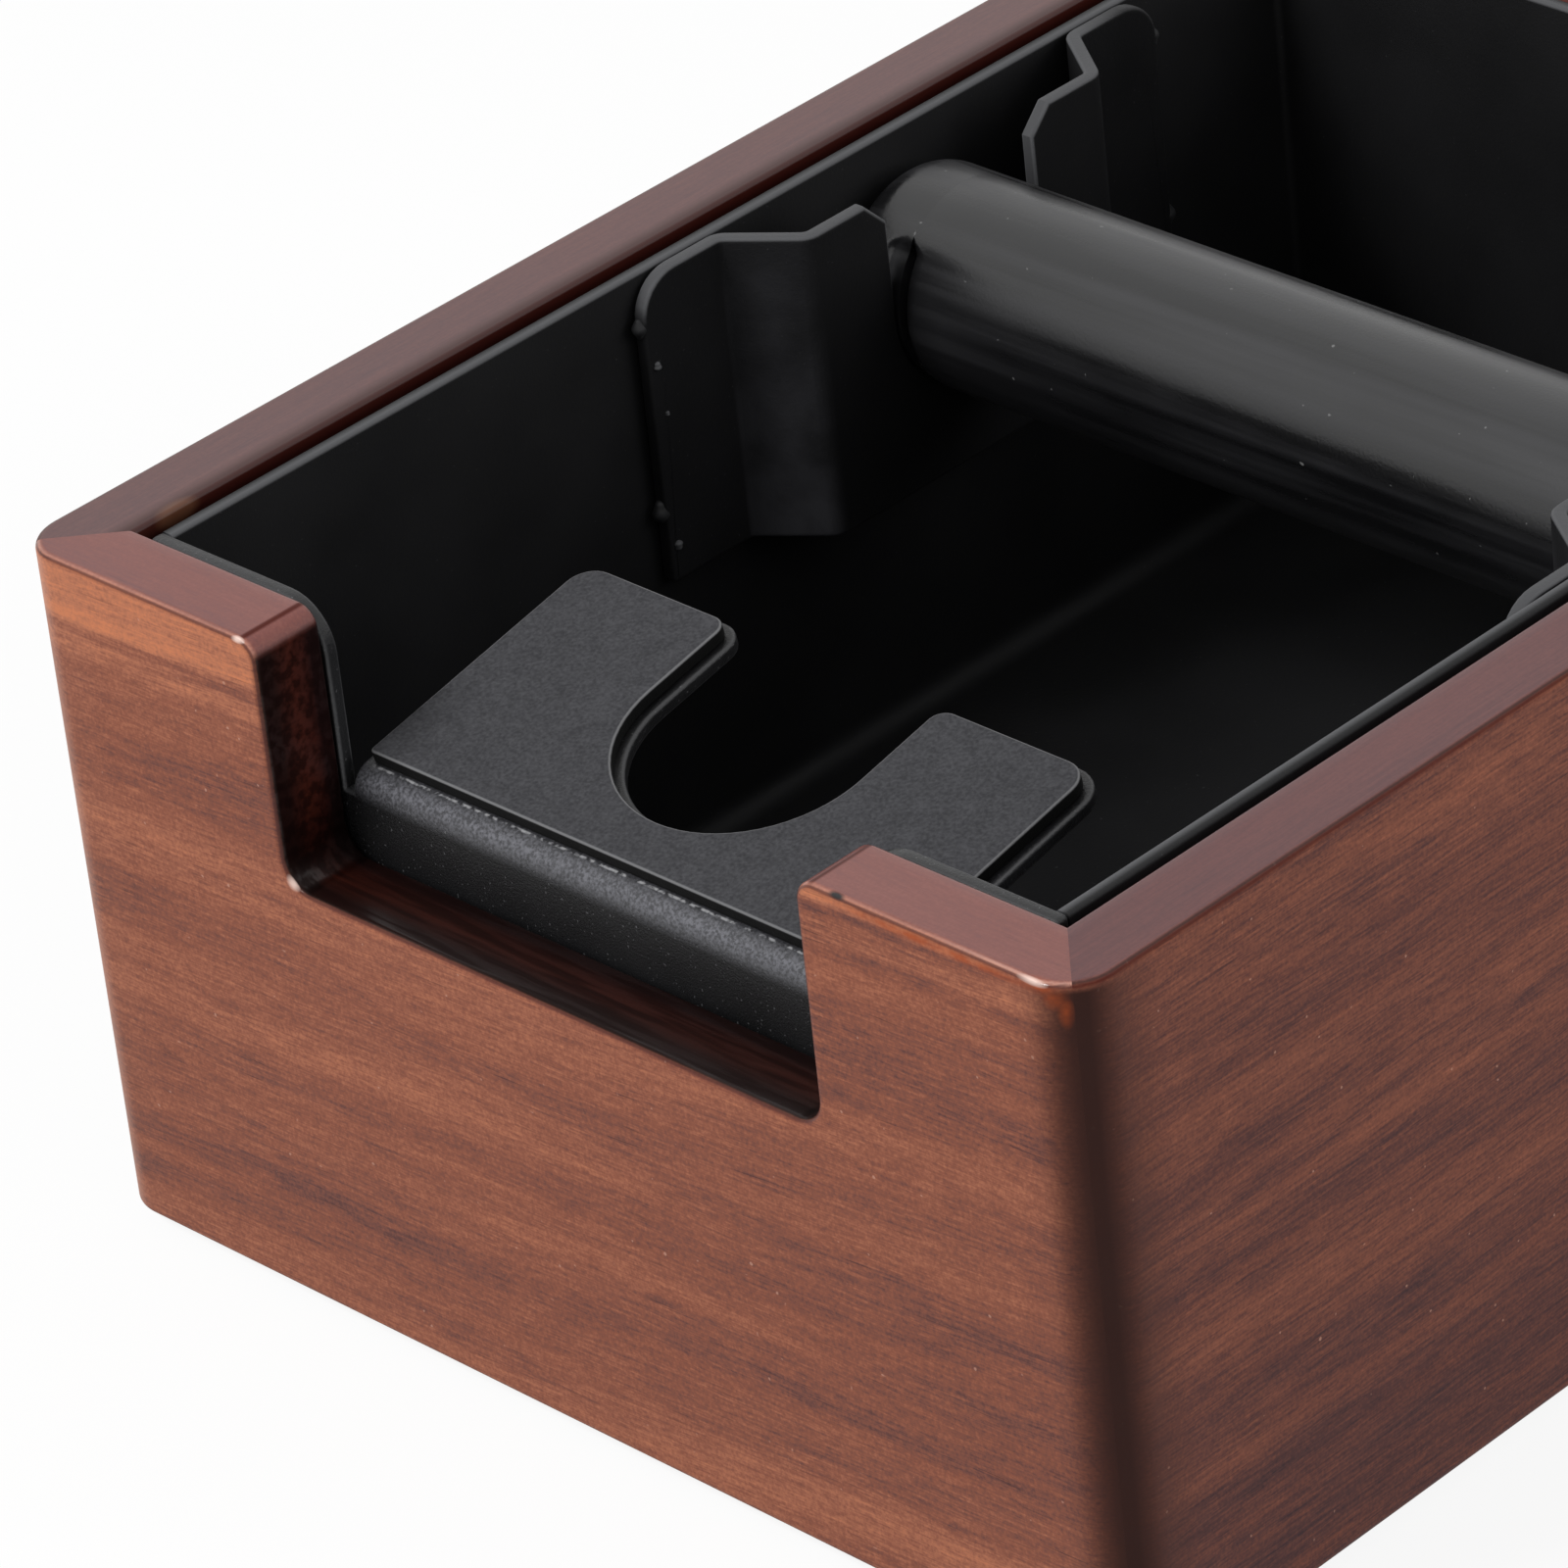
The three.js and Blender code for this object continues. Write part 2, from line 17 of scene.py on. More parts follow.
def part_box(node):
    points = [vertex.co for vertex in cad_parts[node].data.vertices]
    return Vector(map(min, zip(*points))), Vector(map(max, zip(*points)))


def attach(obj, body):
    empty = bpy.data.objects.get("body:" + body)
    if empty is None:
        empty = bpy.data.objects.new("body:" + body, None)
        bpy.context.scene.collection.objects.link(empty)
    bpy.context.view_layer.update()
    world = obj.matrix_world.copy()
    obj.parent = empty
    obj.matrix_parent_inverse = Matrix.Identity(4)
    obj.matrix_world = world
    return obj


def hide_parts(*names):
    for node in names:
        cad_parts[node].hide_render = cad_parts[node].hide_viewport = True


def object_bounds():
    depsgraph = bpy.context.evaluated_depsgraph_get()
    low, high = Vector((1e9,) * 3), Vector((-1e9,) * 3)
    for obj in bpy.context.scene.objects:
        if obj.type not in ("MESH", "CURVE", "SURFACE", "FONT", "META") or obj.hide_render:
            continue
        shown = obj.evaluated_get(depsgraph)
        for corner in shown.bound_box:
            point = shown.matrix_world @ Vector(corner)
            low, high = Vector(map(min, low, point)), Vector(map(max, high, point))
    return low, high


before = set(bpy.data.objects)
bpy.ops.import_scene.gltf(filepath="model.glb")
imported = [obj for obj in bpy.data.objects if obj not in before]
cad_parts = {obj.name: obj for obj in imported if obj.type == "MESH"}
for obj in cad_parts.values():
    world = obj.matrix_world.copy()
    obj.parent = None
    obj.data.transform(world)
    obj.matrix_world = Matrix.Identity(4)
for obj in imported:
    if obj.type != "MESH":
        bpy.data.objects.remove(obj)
cad_low, cad_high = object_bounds()
print("case box in mm:", [round(1000 * (b - a), 1) for a, b in zip(cad_low, cad_high)])

# %% [markdown]
# Sizes are in metres, as in the frame. What the frame's boxes can tell is read from them; the small
# radii that only the finished surfaces have are named here.

# %% Sizes read from the frame
MM = 0.001

front_low, front_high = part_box("front_board")
tray_low, tray_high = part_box("liner_tray")
wall_low, wall_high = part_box("liner_front")
sleeve_low, sleeve_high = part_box("bar_sleeve")

CASE_WIDTH = cad_high.x - cad_low.x
CASE_DEPTH = cad_high.y - cad_low.y
BOARD = front_high.y - front_low.y
CASE_BOTTOM = front_low.z
CASE_TOP = front_high.z
RIM = tray_high.z
BAR_Y = (sleeve_low.y + sleeve_high.y) / 2
BAR_Z = (sleeve_low.z + sleeve_high.z) / 2
BAR_RADIUS = (sleeve_high.z - sleeve_low.z) / 2
SHEET = 1.8 * MM
for what, size in (("boards", BOARD), ("rim", RIM), ("bar radius", BAR_RADIUS)):
    print(what, round(size / MM, 2), "mm")

# %% [markdown]
# Every piece below ends as arrays of points and faces. One helper puts them in a mesh, checks that
# the faces point outwards by the sign of the enclosed volume, smooths what is nearly smooth and
# leaves true edges sharp.

# %% From arrays to a piece
SMOOTH_ANGLE = math.radians(38)


def enclosed_volume(mesh):
    """Sum over triangles of a . (b x c) / 6, which is positive when faces point outwards."""
    mesh.calc_loop_triangles()
    points = np.empty(len(mesh.vertices) * 3)
    mesh.vertices.foreach_get("co", points)
    corners = np.empty(len(mesh.loop_triangles) * 3, dtype=np.int32)
    mesh.loop_triangles.foreach_get("vertices", corners)
    a, b, c = points.reshape(-1, 3)[corners.reshape(-1, 3)].transpose(1, 0, 2)
    return float(np.einsum("ij,ij->i", a, np.cross(b, c)).sum() / 6)


def make_piece(name, points, faces):
    """A mesh object at the origin, with its faces outwards and its real edges sharp."""
    mesh = bpy.data.meshes.new(name)
    mesh.from_pydata(np.asarray(points).tolist(), [], faces)
    if enclosed_volume(mesh) < 0:
        mesh.flip_normals()
    mesh.shade_smooth()
    mesh.set_sharp_from_angle(angle=SMOOTH_ANGLE)
    piece = bpy.data.objects.new(name, mesh)
    bpy.context.scene.collection.objects.link(piece)
    volume = enclosed_volume(mesh) / MM**3 / 1000
    print(f"{name}: {len(mesh.vertices)} points, {volume:.2f} cm3")
    return piece


def grid_faces(rows, columns, close_rows=False, close_columns=False):
    """Quads between neighbouring rows and columns of a grid stored row by row."""
    row = np.arange(rows if close_rows else rows - 1)[:, None]
    column = np.arange(columns if close_columns else columns - 1)[None, :]
    next_row = (row + 1) % rows
    next_column = (column + 1) % columns
    corners = [
        row * columns + column,
        row * columns + next_column,
        next_row * columns + next_column,
        next_row * columns + column,
    ]
    size = (len(row), column.size)
    return np.stack([np.broadcast_to(c, size) for c in corners], -1).reshape(-1, 4).tolist()


def pole_faces(count, ring):
    """Triangles from two poles, stored after count points, to the first and the last ring."""
    here = np.arange(ring)
    after = (here + 1) % ring
    last = count - ring
    first_fan = np.stack([np.full(ring, count), after, here], -1)
    last_fan = np.stack([np.full(ring, count + 1), last + here, last + after], -1)
    return first_fan.tolist() + last_fan.tolist()


def arc(centre, radius, start, end, steps=8):
    """Points on a circle about the centre, from one angle in degrees to another."""
    angle = np.radians(np.linspace(start, end, steps + 1))
    return np.stack([centre[0] + radius * np.cos(angle), centre[1] + radius * np.sin(angle)], -1)


def put_on(piece, node, body, material):
    """The piece stands for a node, rides with its body and wears one material."""
    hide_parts(node)
    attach(piece, body)
    piece.data.materials.clear()
    piece.data.materials.append(material)


# %% [markdown]
# The camera comes first. It repeats the photograph's long lens: about 31 degrees above the table,
# turned 47 degrees to the right of the front, rolled a little, and close enough to cut the bin off.

# %% Camera
IMAGE_SIZE = 1600
FOCAL_PIXELS = 9174
SENSOR = 36
AZIMUTH = math.radians(47.425)
ELEVATION = math.radians(31.07)
ROLL = math.radians(-6.455)
AIM = Vector((0.01734, -0.0802, 0.07954))
CAMERA_DISTANCE = 0.9213

towards_camera = Vector((
    math.sin(AZIMUTH) * math.cos(ELEVATION),
    -math.cos(AZIMUTH) * math.cos(ELEVATION),
    math.sin(ELEVATION),
))
level = Vector((math.cos(AZIMUTH), math.sin(AZIMUTH), 0))
up = towards_camera.cross(level)
right_axis = math.cos(ROLL) * level + math.sin(ROLL) * up
up_axis = math.cos(ROLL) * up - math.sin(ROLL) * level

camera_data = bpy.data.cameras.new("camera")
camera_data.sensor_width = SENSOR
camera_data.lens = SENSOR * FOCAL_PIXELS / IMAGE_SIZE
camera_data.clip_end = 20
camera = bpy.data.objects.new("camera", camera_data)
camera_place = AIM + CAMERA_DISTANCE * towards_camera
rows = zip(right_axis, up_axis, towards_camera, camera_place)
camera.matrix_world = Matrix((*rows, (0, 0, 0, 1)))
bpy.context.scene.collection.objects.link(camera)
bpy.context.scene.camera = camera
print("lens", round(camera_data.lens, 1), "mm")

# %% [markdown]
# Materials are node recipes. A few short helpers keep each recipe readable: they add a node, set its
# inputs by name and hand back the socket that the next node needs.

# %% Node helpers


def add(tree, kind, inputs=None, **settings):
    """Add a node; an input given as a socket is linked, anything else is set as its value."""
    node = tree.nodes.new(kind)
    for key, value in settings.items():
        setattr(node, key, value)
    for key, value in (inputs or {}).items():
        if isinstance(value, bpy.types.NodeSocket):
            tree.links.new(value, node.inputs[key])
        else:
            node.inputs[key].default_value = value
    return node


def object_place(tree, turn=(0, 0, 0)):
    """Object coordinates, turned to the piece's own directions."""
    coordinates = add(tree, "ShaderNodeTexCoord").outputs["Object"]
    return add(tree, "ShaderNodeMapping", {"Vector": coordinates, "Rotation": turn}).outputs["Vector"]


def stretched(tree, place, scale, shift=(0, 0, 0)):
    inputs = {"Vector": place, "Scale": scale, "Location": shift}
    return add(tree, "ShaderNodeMapping", inputs).outputs["Vector"]


def parts_of(tree, place):
    """The three numbers of a place."""
    return add(tree, "ShaderNodeSeparateXYZ", {"Vector": place}).outputs


def noise(tree, place, scale=1.0, detail=2.0, roughness=0.5):
    inputs = {"Vector": place, "Scale": scale, "Detail": detail, "Roughness": roughness}
    return add(tree, "ShaderNodeTexNoise", inputs).outputs["Fac"]


def calc(tree, operation, a, b=0.0, clamp=False):
    node = add(tree, "ShaderNodeMath", {0: a, 1: b}, operation=operation, use_clamp=clamp)
    return node.outputs[0]


def calc_vector(tree, operation, a, b=(0, 0, 0)):
    return add(tree, "ShaderNodeVectorMath", {0: a, 1: b}, operation=operation).outputs


def times(tree, value, *factors):
    """The product of two or more numbers."""
    for factor in factors:
        value = calc(tree, "MULTIPLY", value, factor)
    return value


def plus(tree, a, b, clamp=False):
    return calc(tree, "ADD", a, b, clamp)


def minus(tree, a, b):
    return calc(tree, "SUBTRACT", a, b)


def larger(tree, value, *others):
    """The largest of two or more numbers."""
    for other in others:
        value = calc(tree, "MAXIMUM", value, other)
    return value


def spread(tree, value, low, high, to_low=0.0, to_high=1.0):
    """Map a value from one range to another, held at the ends."""
    inputs = {"Value": value, "From Min": low, "From Max": high, "To Min": to_low, "To Max": to_high}
    return add(tree, "ShaderNodeMapRange", inputs).outputs["Result"]


def ramp(tree, value, stops):
    """A colour ramp from pairs of place and colour."""
    node = add(tree, "ShaderNodeValToRGB", {"Fac": value})
    elements = node.color_ramp.elements
    while len(elements) < len(stops):
        elements.new(0.5)
    for element, (place, colour) in zip(elements, stops):
        element.position = place
        element.color = (*colour, 1)
    return node.outputs["Color"]


def number_ramp(tree, value, stops):
    """A ramp from pairs of place and number."""
    return ramp(tree, value, [(place, (number, number, number)) for place, number in stops])


def blend(tree, factor, a, b, mode="MIX"):
    """Mix two colours; a colour given as three numbers is set as a value."""
    node = tree.nodes.new("ShaderNodeMix")
    node.data_type = "RGBA"
    node.blend_type = mode
    for index, value in ((0, factor), (6, a), (7, b)):
        if isinstance(value, bpy.types.NodeSocket):
            tree.links.new(value, node.inputs[index])
        elif index == 0:
            node.inputs[index].default_value = value
        else:
            node.inputs[index].default_value = (*value, 1)
    return node.outputs[2]


def laid_over(tree, colour, mask, tone, share=1.0):
    """The colour, with up to a share of another tone laid over it where a mask is."""
    return blend(tree, mask if share == 1.0 else times(tree, mask, share), colour, tone)


def patches(tree, spots):
    """1 in the core of egg-shaped patches, falling to 0 at their borders. Each is an origin, an
    offset from it in mm, a size in mm and the core's share of that size."""
    masks = []
    for origin, offset, size, core in spots:
        centre = [start + MM * step for start, step in zip(origin, offset)]
        away = calc_vector(tree, "SUBTRACT", object_place(tree), centre)[0]
        scaled = calc_vector(tree, "DIVIDE", away, [MM * length for length in size])[0]
        far = calc_vector(tree, "LENGTH", scaled)["Value"]
        masks.append(spread(tree, far, core, 1.0, 1.0, 0.0))
    return larger(tree, *masks)


def bump(tree, height, distance, strength=1.0):
    inputs = {"Height": height, "Distance": distance, "Strength": strength}
    return add(tree, "ShaderNodeBump", inputs).outputs["Normal"]


def attribute(tree, name):
    return add(tree, "ShaderNodeAttribute", attribute_name=name).outputs["Fac"]


def recipe(name):
    """A new material, its node tree and its shader."""
    material = bpy.data.materials.new(name)
    material.use_nodes = True
    tree = material.node_tree
    return material, tree, tree.nodes["Principled BSDF"]


def dress(tree, shader, colour, roughness, normal, fixed=None):
    """Link what varies over the surface, and set what doesn't on the shader itself."""
    for socket, value in (("Base Color", colour), ("Roughness", roughness), ("Normal", normal)):
        tree.links.new(value, shader.inputs[socket])
    for key, value in (fixed or {}).items():
        shader.inputs[key].default_value = value


# %% [markdown]
# The case is stained hardwood under lacquer. Its grain runs along each board, so side boards turn the
# pattern by a quarter. The figure is built as wood grows: broad bands at set heights across the
# board, soft streaks, fine fibres and short dark pores, all bent by the same slow wander. Height in
# the board gives the bands, so the pale sapwood band lies along the front's top edge and climbs out
# of it, because the grain isn't quite level. A photograph of wood would be quicker, but a recipe
# keeps its sharpness at any distance and never repeats.
#
# Stain and lacquer follow the shape. The near round upright corner is darkened as painted shade,
# the front's left round corner is painted pale as a painted reflection, stain darkens the long
# edges, and the lacquer is thickest on the narrow faces, which are the ones that shine. Five numbers
# that each board keeps on its points tell the recipe where that is: edge and arris lie side by side
# along the long edges, line is where the notch's shoulders start, polish is on the narrow faces, and
# cut is on the sawn wood inside the notch.

# %% Stain, wear and painted light
QUARTER = math.pi / 2
CORNER_RADIUS = 6 * MM
NOTCH_HALF = 39.5 * MM
NOTCH_BOTTOM = CASE_TOP - 30 * MM
FRONT_Y = -CASE_DEPTH / 2

# Painted shade on the near upright corner, by place round the corner
PAINTED_CORNER_SHADE = [
    (0.0, 0), (0.16, 0.04), (0.24, 0.22), (0.31, 0.47), (0.39, 0.76), (0.47, 0.94), (0.52, 1),
    (0.58, 1), (0.64, 0.84), (0.72, 0.63), (0.8, 0.43), (0.9, 0.22), (1.0, 0),
]
# Painted reflection on the front's left upright corner, by place round the corner
PAINTED_REFLECTION_PROFILE = [(0.0, 0), (0.27, 0.05), (0.38, 0.45), (0.5, 1), (0.6, 0.4), (0.75, 0)]
CUT_CORE = [
    (0.0, (0.004, 0.0015, 0.0015)), (0.22, (0.007, 0.0025, 0.002)), (0.5, (0.034, 0.0068, 0.0035)),
    (0.7, (0.024, 0.005, 0.003)), (0.82, (0.006, 0.002, 0.002)), (1.0, (0.003, 0.001, 0.001)),
]
CUT_STREAKS = [(0.4, (0.4, 0.4, 0.45)), (0.62, (1.5, 1.4, 1.4))]

# Each spot: offset in mm from a corner of the case or the notch, size in mm, share of its core
NEAR_CORNER = (CASE_WIDTH / 2, FRONT_Y, CASE_TOP)
LEFT_SHOULDER = (-NOTCH_HALF, FRONT_Y, CASE_TOP)
GLOW_SPOTS = [
    (NEAR_CORNER, (-4.6, 0.1, -0.6), (3.2, 1.8, 1.0), 0.1),
    (NEAR_CORNER, (-3.2, 0.7, -1.6), (1.7, 1.6, 1.6), 0.1),
    (NEAR_CORNER, (-2.4, 1.2, -3.1), (0.9, 1.1, 2.2), 0.1),
    (NEAR_CORNER, (-18.5, 0, -0.9), (17, 1.5, 0.7), 0.3),
]
# Painted highlights: pale spots that stand for glints on the lacquered edges
PAINTED_GLINT_SPOTS = [
    (NEAR_CORNER, (-5.6, 0.3, -0.25), (2.3, 0.5, 0.45), 0.2),
    (LEFT_SHOULDER, (-2.4, 0.2, -0.25), (1.1, 0.5, 0.45), 0.3),
    ((-NOTCH_HALF, FRONT_Y, NOTCH_BOTTOM), (1.1, 0.15, 0.9), (1.2, 0.35, 1.2), 0.3),
]
BARE_SPOT = ((-CASE_WIDTH / 2, FRONT_Y, CASE_TOP), (9.3, 15.5, -0.8), (1.6, 3.6, 1.6), 0.6)
CHIP = ((NOTCH_HALF, FRONT_Y, CASE_TOP), (5.9, 0, 0), (1.5, 0.9, 0.5), 0.6)

PORE = (0.03, 0.011, 0.012)
NIB = (0.55, 0.3, 0.22)
PAINTED_SHADE_BROWN = (0.085, 0.028, 0.02)
PAINTED_SHADE_BLACK = (0.023, 0.0075, 0.0055)
PAINTED_CORNER_REFLECTION = (0.6, 0.36, 0.28)
GLOW = (0.34, 0.066, 0.018)
INNER_RED = (0.034, 0.006, 0.004)
BARE = (0.11, 0.045, 0.024)
PAINTED_EDGE_HIGHLIGHT = (0.62, 0.36, 0.29)
ARRIS_BROWN = (0.03, 0.011, 0.009)
LINE_RED = (0.06, 0.008, 0.004)
PAINTED_GLINT = (0.88, 0.66, 0.58)
CHIPPED = (0.004, 0.002, 0.002)


def painted_corner_shade_and_reflection(tree):
    """Painted shade, and a pale painted reflection, round the upright corners. The distance outwards
    along X less that along Y grows steadily along the surface through the corner: it is -r where the
    front face ends, 0 halfway round and +r where the side begins. The front's right corner is painted
    darkest, as painted shade, and its left one gets the pale painted reflection."""
    x, y, z = parts_of(tree, object_place(tree))
    past_x = minus(tree, calc(tree, "ABSOLUTE", x), CASE_WIDTH / 2 - CORNER_RADIUS)
    past_y = minus(tree, calc(tree, "ABSOLUTE", y), CASE_DEPTH / 2 - CORNER_RADIUS)
    round_place = spread(tree, minus(tree, past_x, past_y), -2 * CORNER_RADIUS, 2 * CORNER_RADIUS)
    below_top = spread(tree, z, CASE_TOP - 1.1 * MM, CASE_TOP - 0.2 * MM, 1.0, 0.0)
    on_right = spread(tree, minus(tree, x, y), 0.08, 0.15, 0.15, 1.0)
    on_left = spread(tree, plus(tree, x, y), -0.14, -0.15)
    corner_shade = times(tree, number_ramp(tree, round_place, PAINTED_CORNER_SHADE), on_right, below_top)
    corner_reflection = times(tree, number_ramp(tree, round_place, PAINTED_REFLECTION_PROFILE), on_left, below_top)
    return corner_shade, corner_reflection


def corner_glow(tree):
    """An uneven orange streak beside the dark corner, slanting from the top edge down to the corner,
    with an orange band along the top edge."""
    uneven = spread(tree, noise(tree, object_place(tree), scale=700, detail=3), 0.35, 0.6, 0.45, 1.0)
    return times(tree, patches(tree, GLOW_SPOTS), uneven)


def cut_tone(tree, streaks):
    """End grain and sawn wood drink the stain: nearly black at the front, with a deep red core that
    darkens towards the notch's bottom."""
    place = parts_of(tree, object_place(tree))
    core = ramp(tree, spread(tree, place[1], FRONT_Y, FRONT_Y + BOARD), CUT_CORE)
    above = spread(tree, place[2], NOTCH_BOTTOM + 1 * MM, NOTCH_BOTTOM + 7 * MM, 0.4, 1.0)
    core = blend(tree, 1.0, core, above, "MULTIPLY")
    return blend(tree, 1.0, core, ramp(tree, streaks, CUT_STREAKS), "MULTIPLY")


def painted_light_and_stain(tree, colour, inner_darkening):
    """Painted shade and a painted reflection at the upright corners, a deeper red along the board's
    inner edge, the orange streak and a bare spot.
    """
    corner_shade, corner_reflection = painted_corner_shade_and_reflection(tree)
    # Painted shade: the near upright corner is painted brown, and nearly black in its middle
    colour = laid_over(tree, colour, corner_shade, PAINTED_SHADE_BROWN, 0.85)
    colour = laid_over(tree, colour, calc(tree, "POWER", corner_shade, 1.6), PAINTED_SHADE_BLACK, 0.85)
    # Painted reflection: the front's left upright corner is painted pale
    colour = laid_over(tree, colour, corner_reflection, PAINTED_CORNER_REFLECTION, 0.6)
    colour = laid_over(tree, colour, corner_glow(tree), GLOW, 0.8)
    # A deeper red along the board's inner edge, and a bare spot
    if inner_darkening:
        inwards = calc(tree, "ABSOLUTE", parts_of(tree, object_place(tree))[0])
        inner_face = CASE_WIDTH / 2 - BOARD
        inner = spread(tree, inwards, inner_face + 2.8 * MM, inner_face + 1.0 * MM)
        colour = laid_over(tree, colour, inner, INNER_RED, inner_darkening)
        colour = laid_over(tree, colour, patches(tree, [BARE_SPOT]), BARE, 0.8)
    return colour


def edge_stain_and_highlights(tree, colour, marks, cut_streaks, edge_highlight):
    """A dark line along each long edge, with an arris beside it that carries a pale painted highlight
    or is stained; the cut wood of the notch; and the front's painted glint spots and its chip."""
    if edge_highlight:
        # Painted highlight: a pale line along the arris, strongest towards the right corner
        near = spread(tree, parts_of(tree, object_place(tree))[0], 58 * MM, 67 * MM, 0.2, 1.0)
        colour = laid_over(tree, colour, times(tree, marks["arris"], near), PAINTED_EDGE_HIGHLIGHT, edge_highlight)
    else:
        colour = laid_over(tree, colour, marks["arris"], ARRIS_BROWN, 0.85)
    line = larger(tree, times(tree, marks["edge"], 0.92), times(tree, marks["line"], 0.97))
    colour = laid_over(tree, colour, line, LINE_RED)
    colour = laid_over(tree, colour, marks["cut"], cut_tone(tree, cut_streaks), 0.97)
    if edge_highlight:
        # Painted glints: pale spots on the lacquered edges, weaker on the dark line
        beside_edge = minus(tree, 1.0, times(tree, marks["edge"], 0.3))
        painted_glints = times(tree, patches(tree, PAINTED_GLINT_SPOTS), beside_edge)
        colour = laid_over(tree, colour, painted_glints, PAINTED_GLINT, 0.95)
    return laid_over(tree, colour, patches(tree, [CHIP]), CHIPPED)


def lacquer_coat(tree, marks, cut_streaks, bright_edges):
    """How much clear lacquer there is: a little on the broad faces, more on the narrow ones, most on
    an edge that shines, and less where cut wood has drunk it."""
    bright = plus(tree, marks["arris"], times(tree, marks["edge"], 0.5), clamp=True)
    bright = times(tree, bright, 1.0 if bright_edges else 0.1)
    coat = larger(tree, spread(tree, marks["polish"], 0, 1, 0.05, 0.5), bright)
    dry = times(tree, marks["cut"], spread(tree, cut_streaks, 0.46, 0.58, 1.0, 0.25))
    dry = larger(tree, dry, times(tree, marks["line"], 0.9))
    return times(tree, coat, minus(tree, 1.0, dry))


# %% Wood
WANDER = (9, 22, 30)
WANDER_HEIGHT = 0.005
GRAIN_PATTERNS = [
    ((7, 55, 120), 3, 0.5), ((22, 260, 340), 3, 0.55), ((95, 1900, 2300), 2, 0.6),
    ((300, 3800, 4400), 1, 0.6),
]
PORE_PATTERN = (120, 2900, 3300)
CUT_PATTERN = (70, 900, 900)


def along_grain(tree, place, shift):
    """The place, moved up and down a little by the grain's slow wander."""
    wander = noise(tree, stretched(tree, place, WANDER, shift), detail=3)
    rise = times(tree, minus(tree, wander, 0.5), WANDER_HEIGHT)
    offset = add(tree, "ShaderNodeCombineXYZ", {"Z": rise}).outputs[0]
    return calc_vector(tree, "ADD", place, offset)[0]


def wood_tone(tree, place, grain, shift, figure, polish, contrast, painted_falloff):
    """How pale the wood is: the band at this height, plus the swings of bands, streaks, lines,
    fibres and speckle about their middle. Lines crowd where the streaks are dark."""
    height = spread(tree, parts_of(tree, grain)[2], CASE_BOTTOM, CASE_TOP)
    band = number_ramp(tree, height, figure)
    # Painted light: the wood is painted paler along X, towards the front's left end
    band = plus(tree, band, times(tree, parts_of(tree, place)[0], painted_falloff))
    bands, streaks, lines, fibres = (
        noise(tree, stretched(tree, grain, scale, shift), detail=detail, roughness=roughness)
        for scale, detail, roughness in GRAIN_PATTERNS
    )
    speckle = noise(tree, place, scale=2500, detail=2, roughness=0.6)
    calm = spread(tree, polish, 0, 1, 1.0, 0.3)
    crowded = times(tree, calm, spread(tree, streaks, 0.36, 0.6, 1.6, 0.7))
    tone = plus(tree, band, times(tree, minus(tree, 0.5, band), polish))
    for pattern, share, weight in (
        (bands, 0.5 * contrast, calm), (streaks, 0.36 * contrast, calm),
        (lines, 0.4 * contrast, crowded), (fibres, 0.38 * contrast, calm), (speckle, 0.55, calm),
    ):
        tone = plus(tree, tone, times(tree, minus(tree, pattern, 0.5), share, weight))
    return tone, streaks, fibres, crowded


def wood_finish(
    name, turn, shift, figure, tones, lacquer, contrast=1.0, inner_darkening=0.0, painted_falloff=0.0, edge_highlight=0.0
):
    """Wood stretched along the board's length, then stain, wear, painted light and lacquer. The narrow
    polished faces show less figure and take the lacquer's tint. The inner darkening makes the board's
    inner edge a deeper red, the painted falloff is painted light that makes the wood paler towards
    one end, and the edge highlight is a pale painted highlight along the arris."""
    material, tree, shader = recipe(name)
    marks = {key: attribute(tree, key) for key in ("edge", "arris", "line", "polish", "cut")}
    polish = marks["polish"]
    place = object_place(tree, turn)
    grain = along_grain(tree, place, shift)
    tone, streaks, fibres, crowded = wood_tone(
        tree, place, grain, shift, figure, polish, contrast, painted_falloff
    )
    pores = stretched(tree, grain, PORE_PATTERN, (shift[1], shift[2], shift[0]))
    pores = spread(tree, noise(tree, pores, detail=1), 0.66, 0.76)
    pore = times(tree, pores, times(tree, crowded, 0.35))
    nib = spread(tree, noise(tree, place, scale=1200, detail=0), 0.83, 0.87)
    nib = times(tree, nib, minus(tree, 1.0, polish))
    cut_streaks = noise(tree, stretched(tree, object_place(tree), CUT_PATTERN, shift), detail=2)

    colour = laid_over(tree, ramp(tree, tone, tones), pore, PORE)
    colour = laid_over(tree, colour, nib, NIB, 0.6)
    colour = blend(tree, polish, colour, lacquer, "MULTIPLY")
    colour = painted_light_and_stain(tree, colour, inner_darkening)
    colour = edge_stain_and_highlights(tree, colour, marks, cut_streaks, edge_highlight)
    gloss = minus(tree, spread(tree, streaks, 0.3, 0.7, 0.5, 0.58), times(tree, polish, 0.2))
    coat = lacquer_coat(tree, marks, cut_streaks, edge_highlight > 0)
    tree.links.new(coat, shader.inputs["Coat Weight"])
    relief = plus(tree, minus(tree, times(tree, fibres, 0.5), pore), times(tree, nib, 1.5))
    fixed = {"Coat Roughness": 0.17, "Coat IOR": 1.5, "Specular IOR Level": 0.1}
    dress(tree, shader, colour, gloss, bump(tree, relief, 0.00003, 0.5), fixed)
    return material


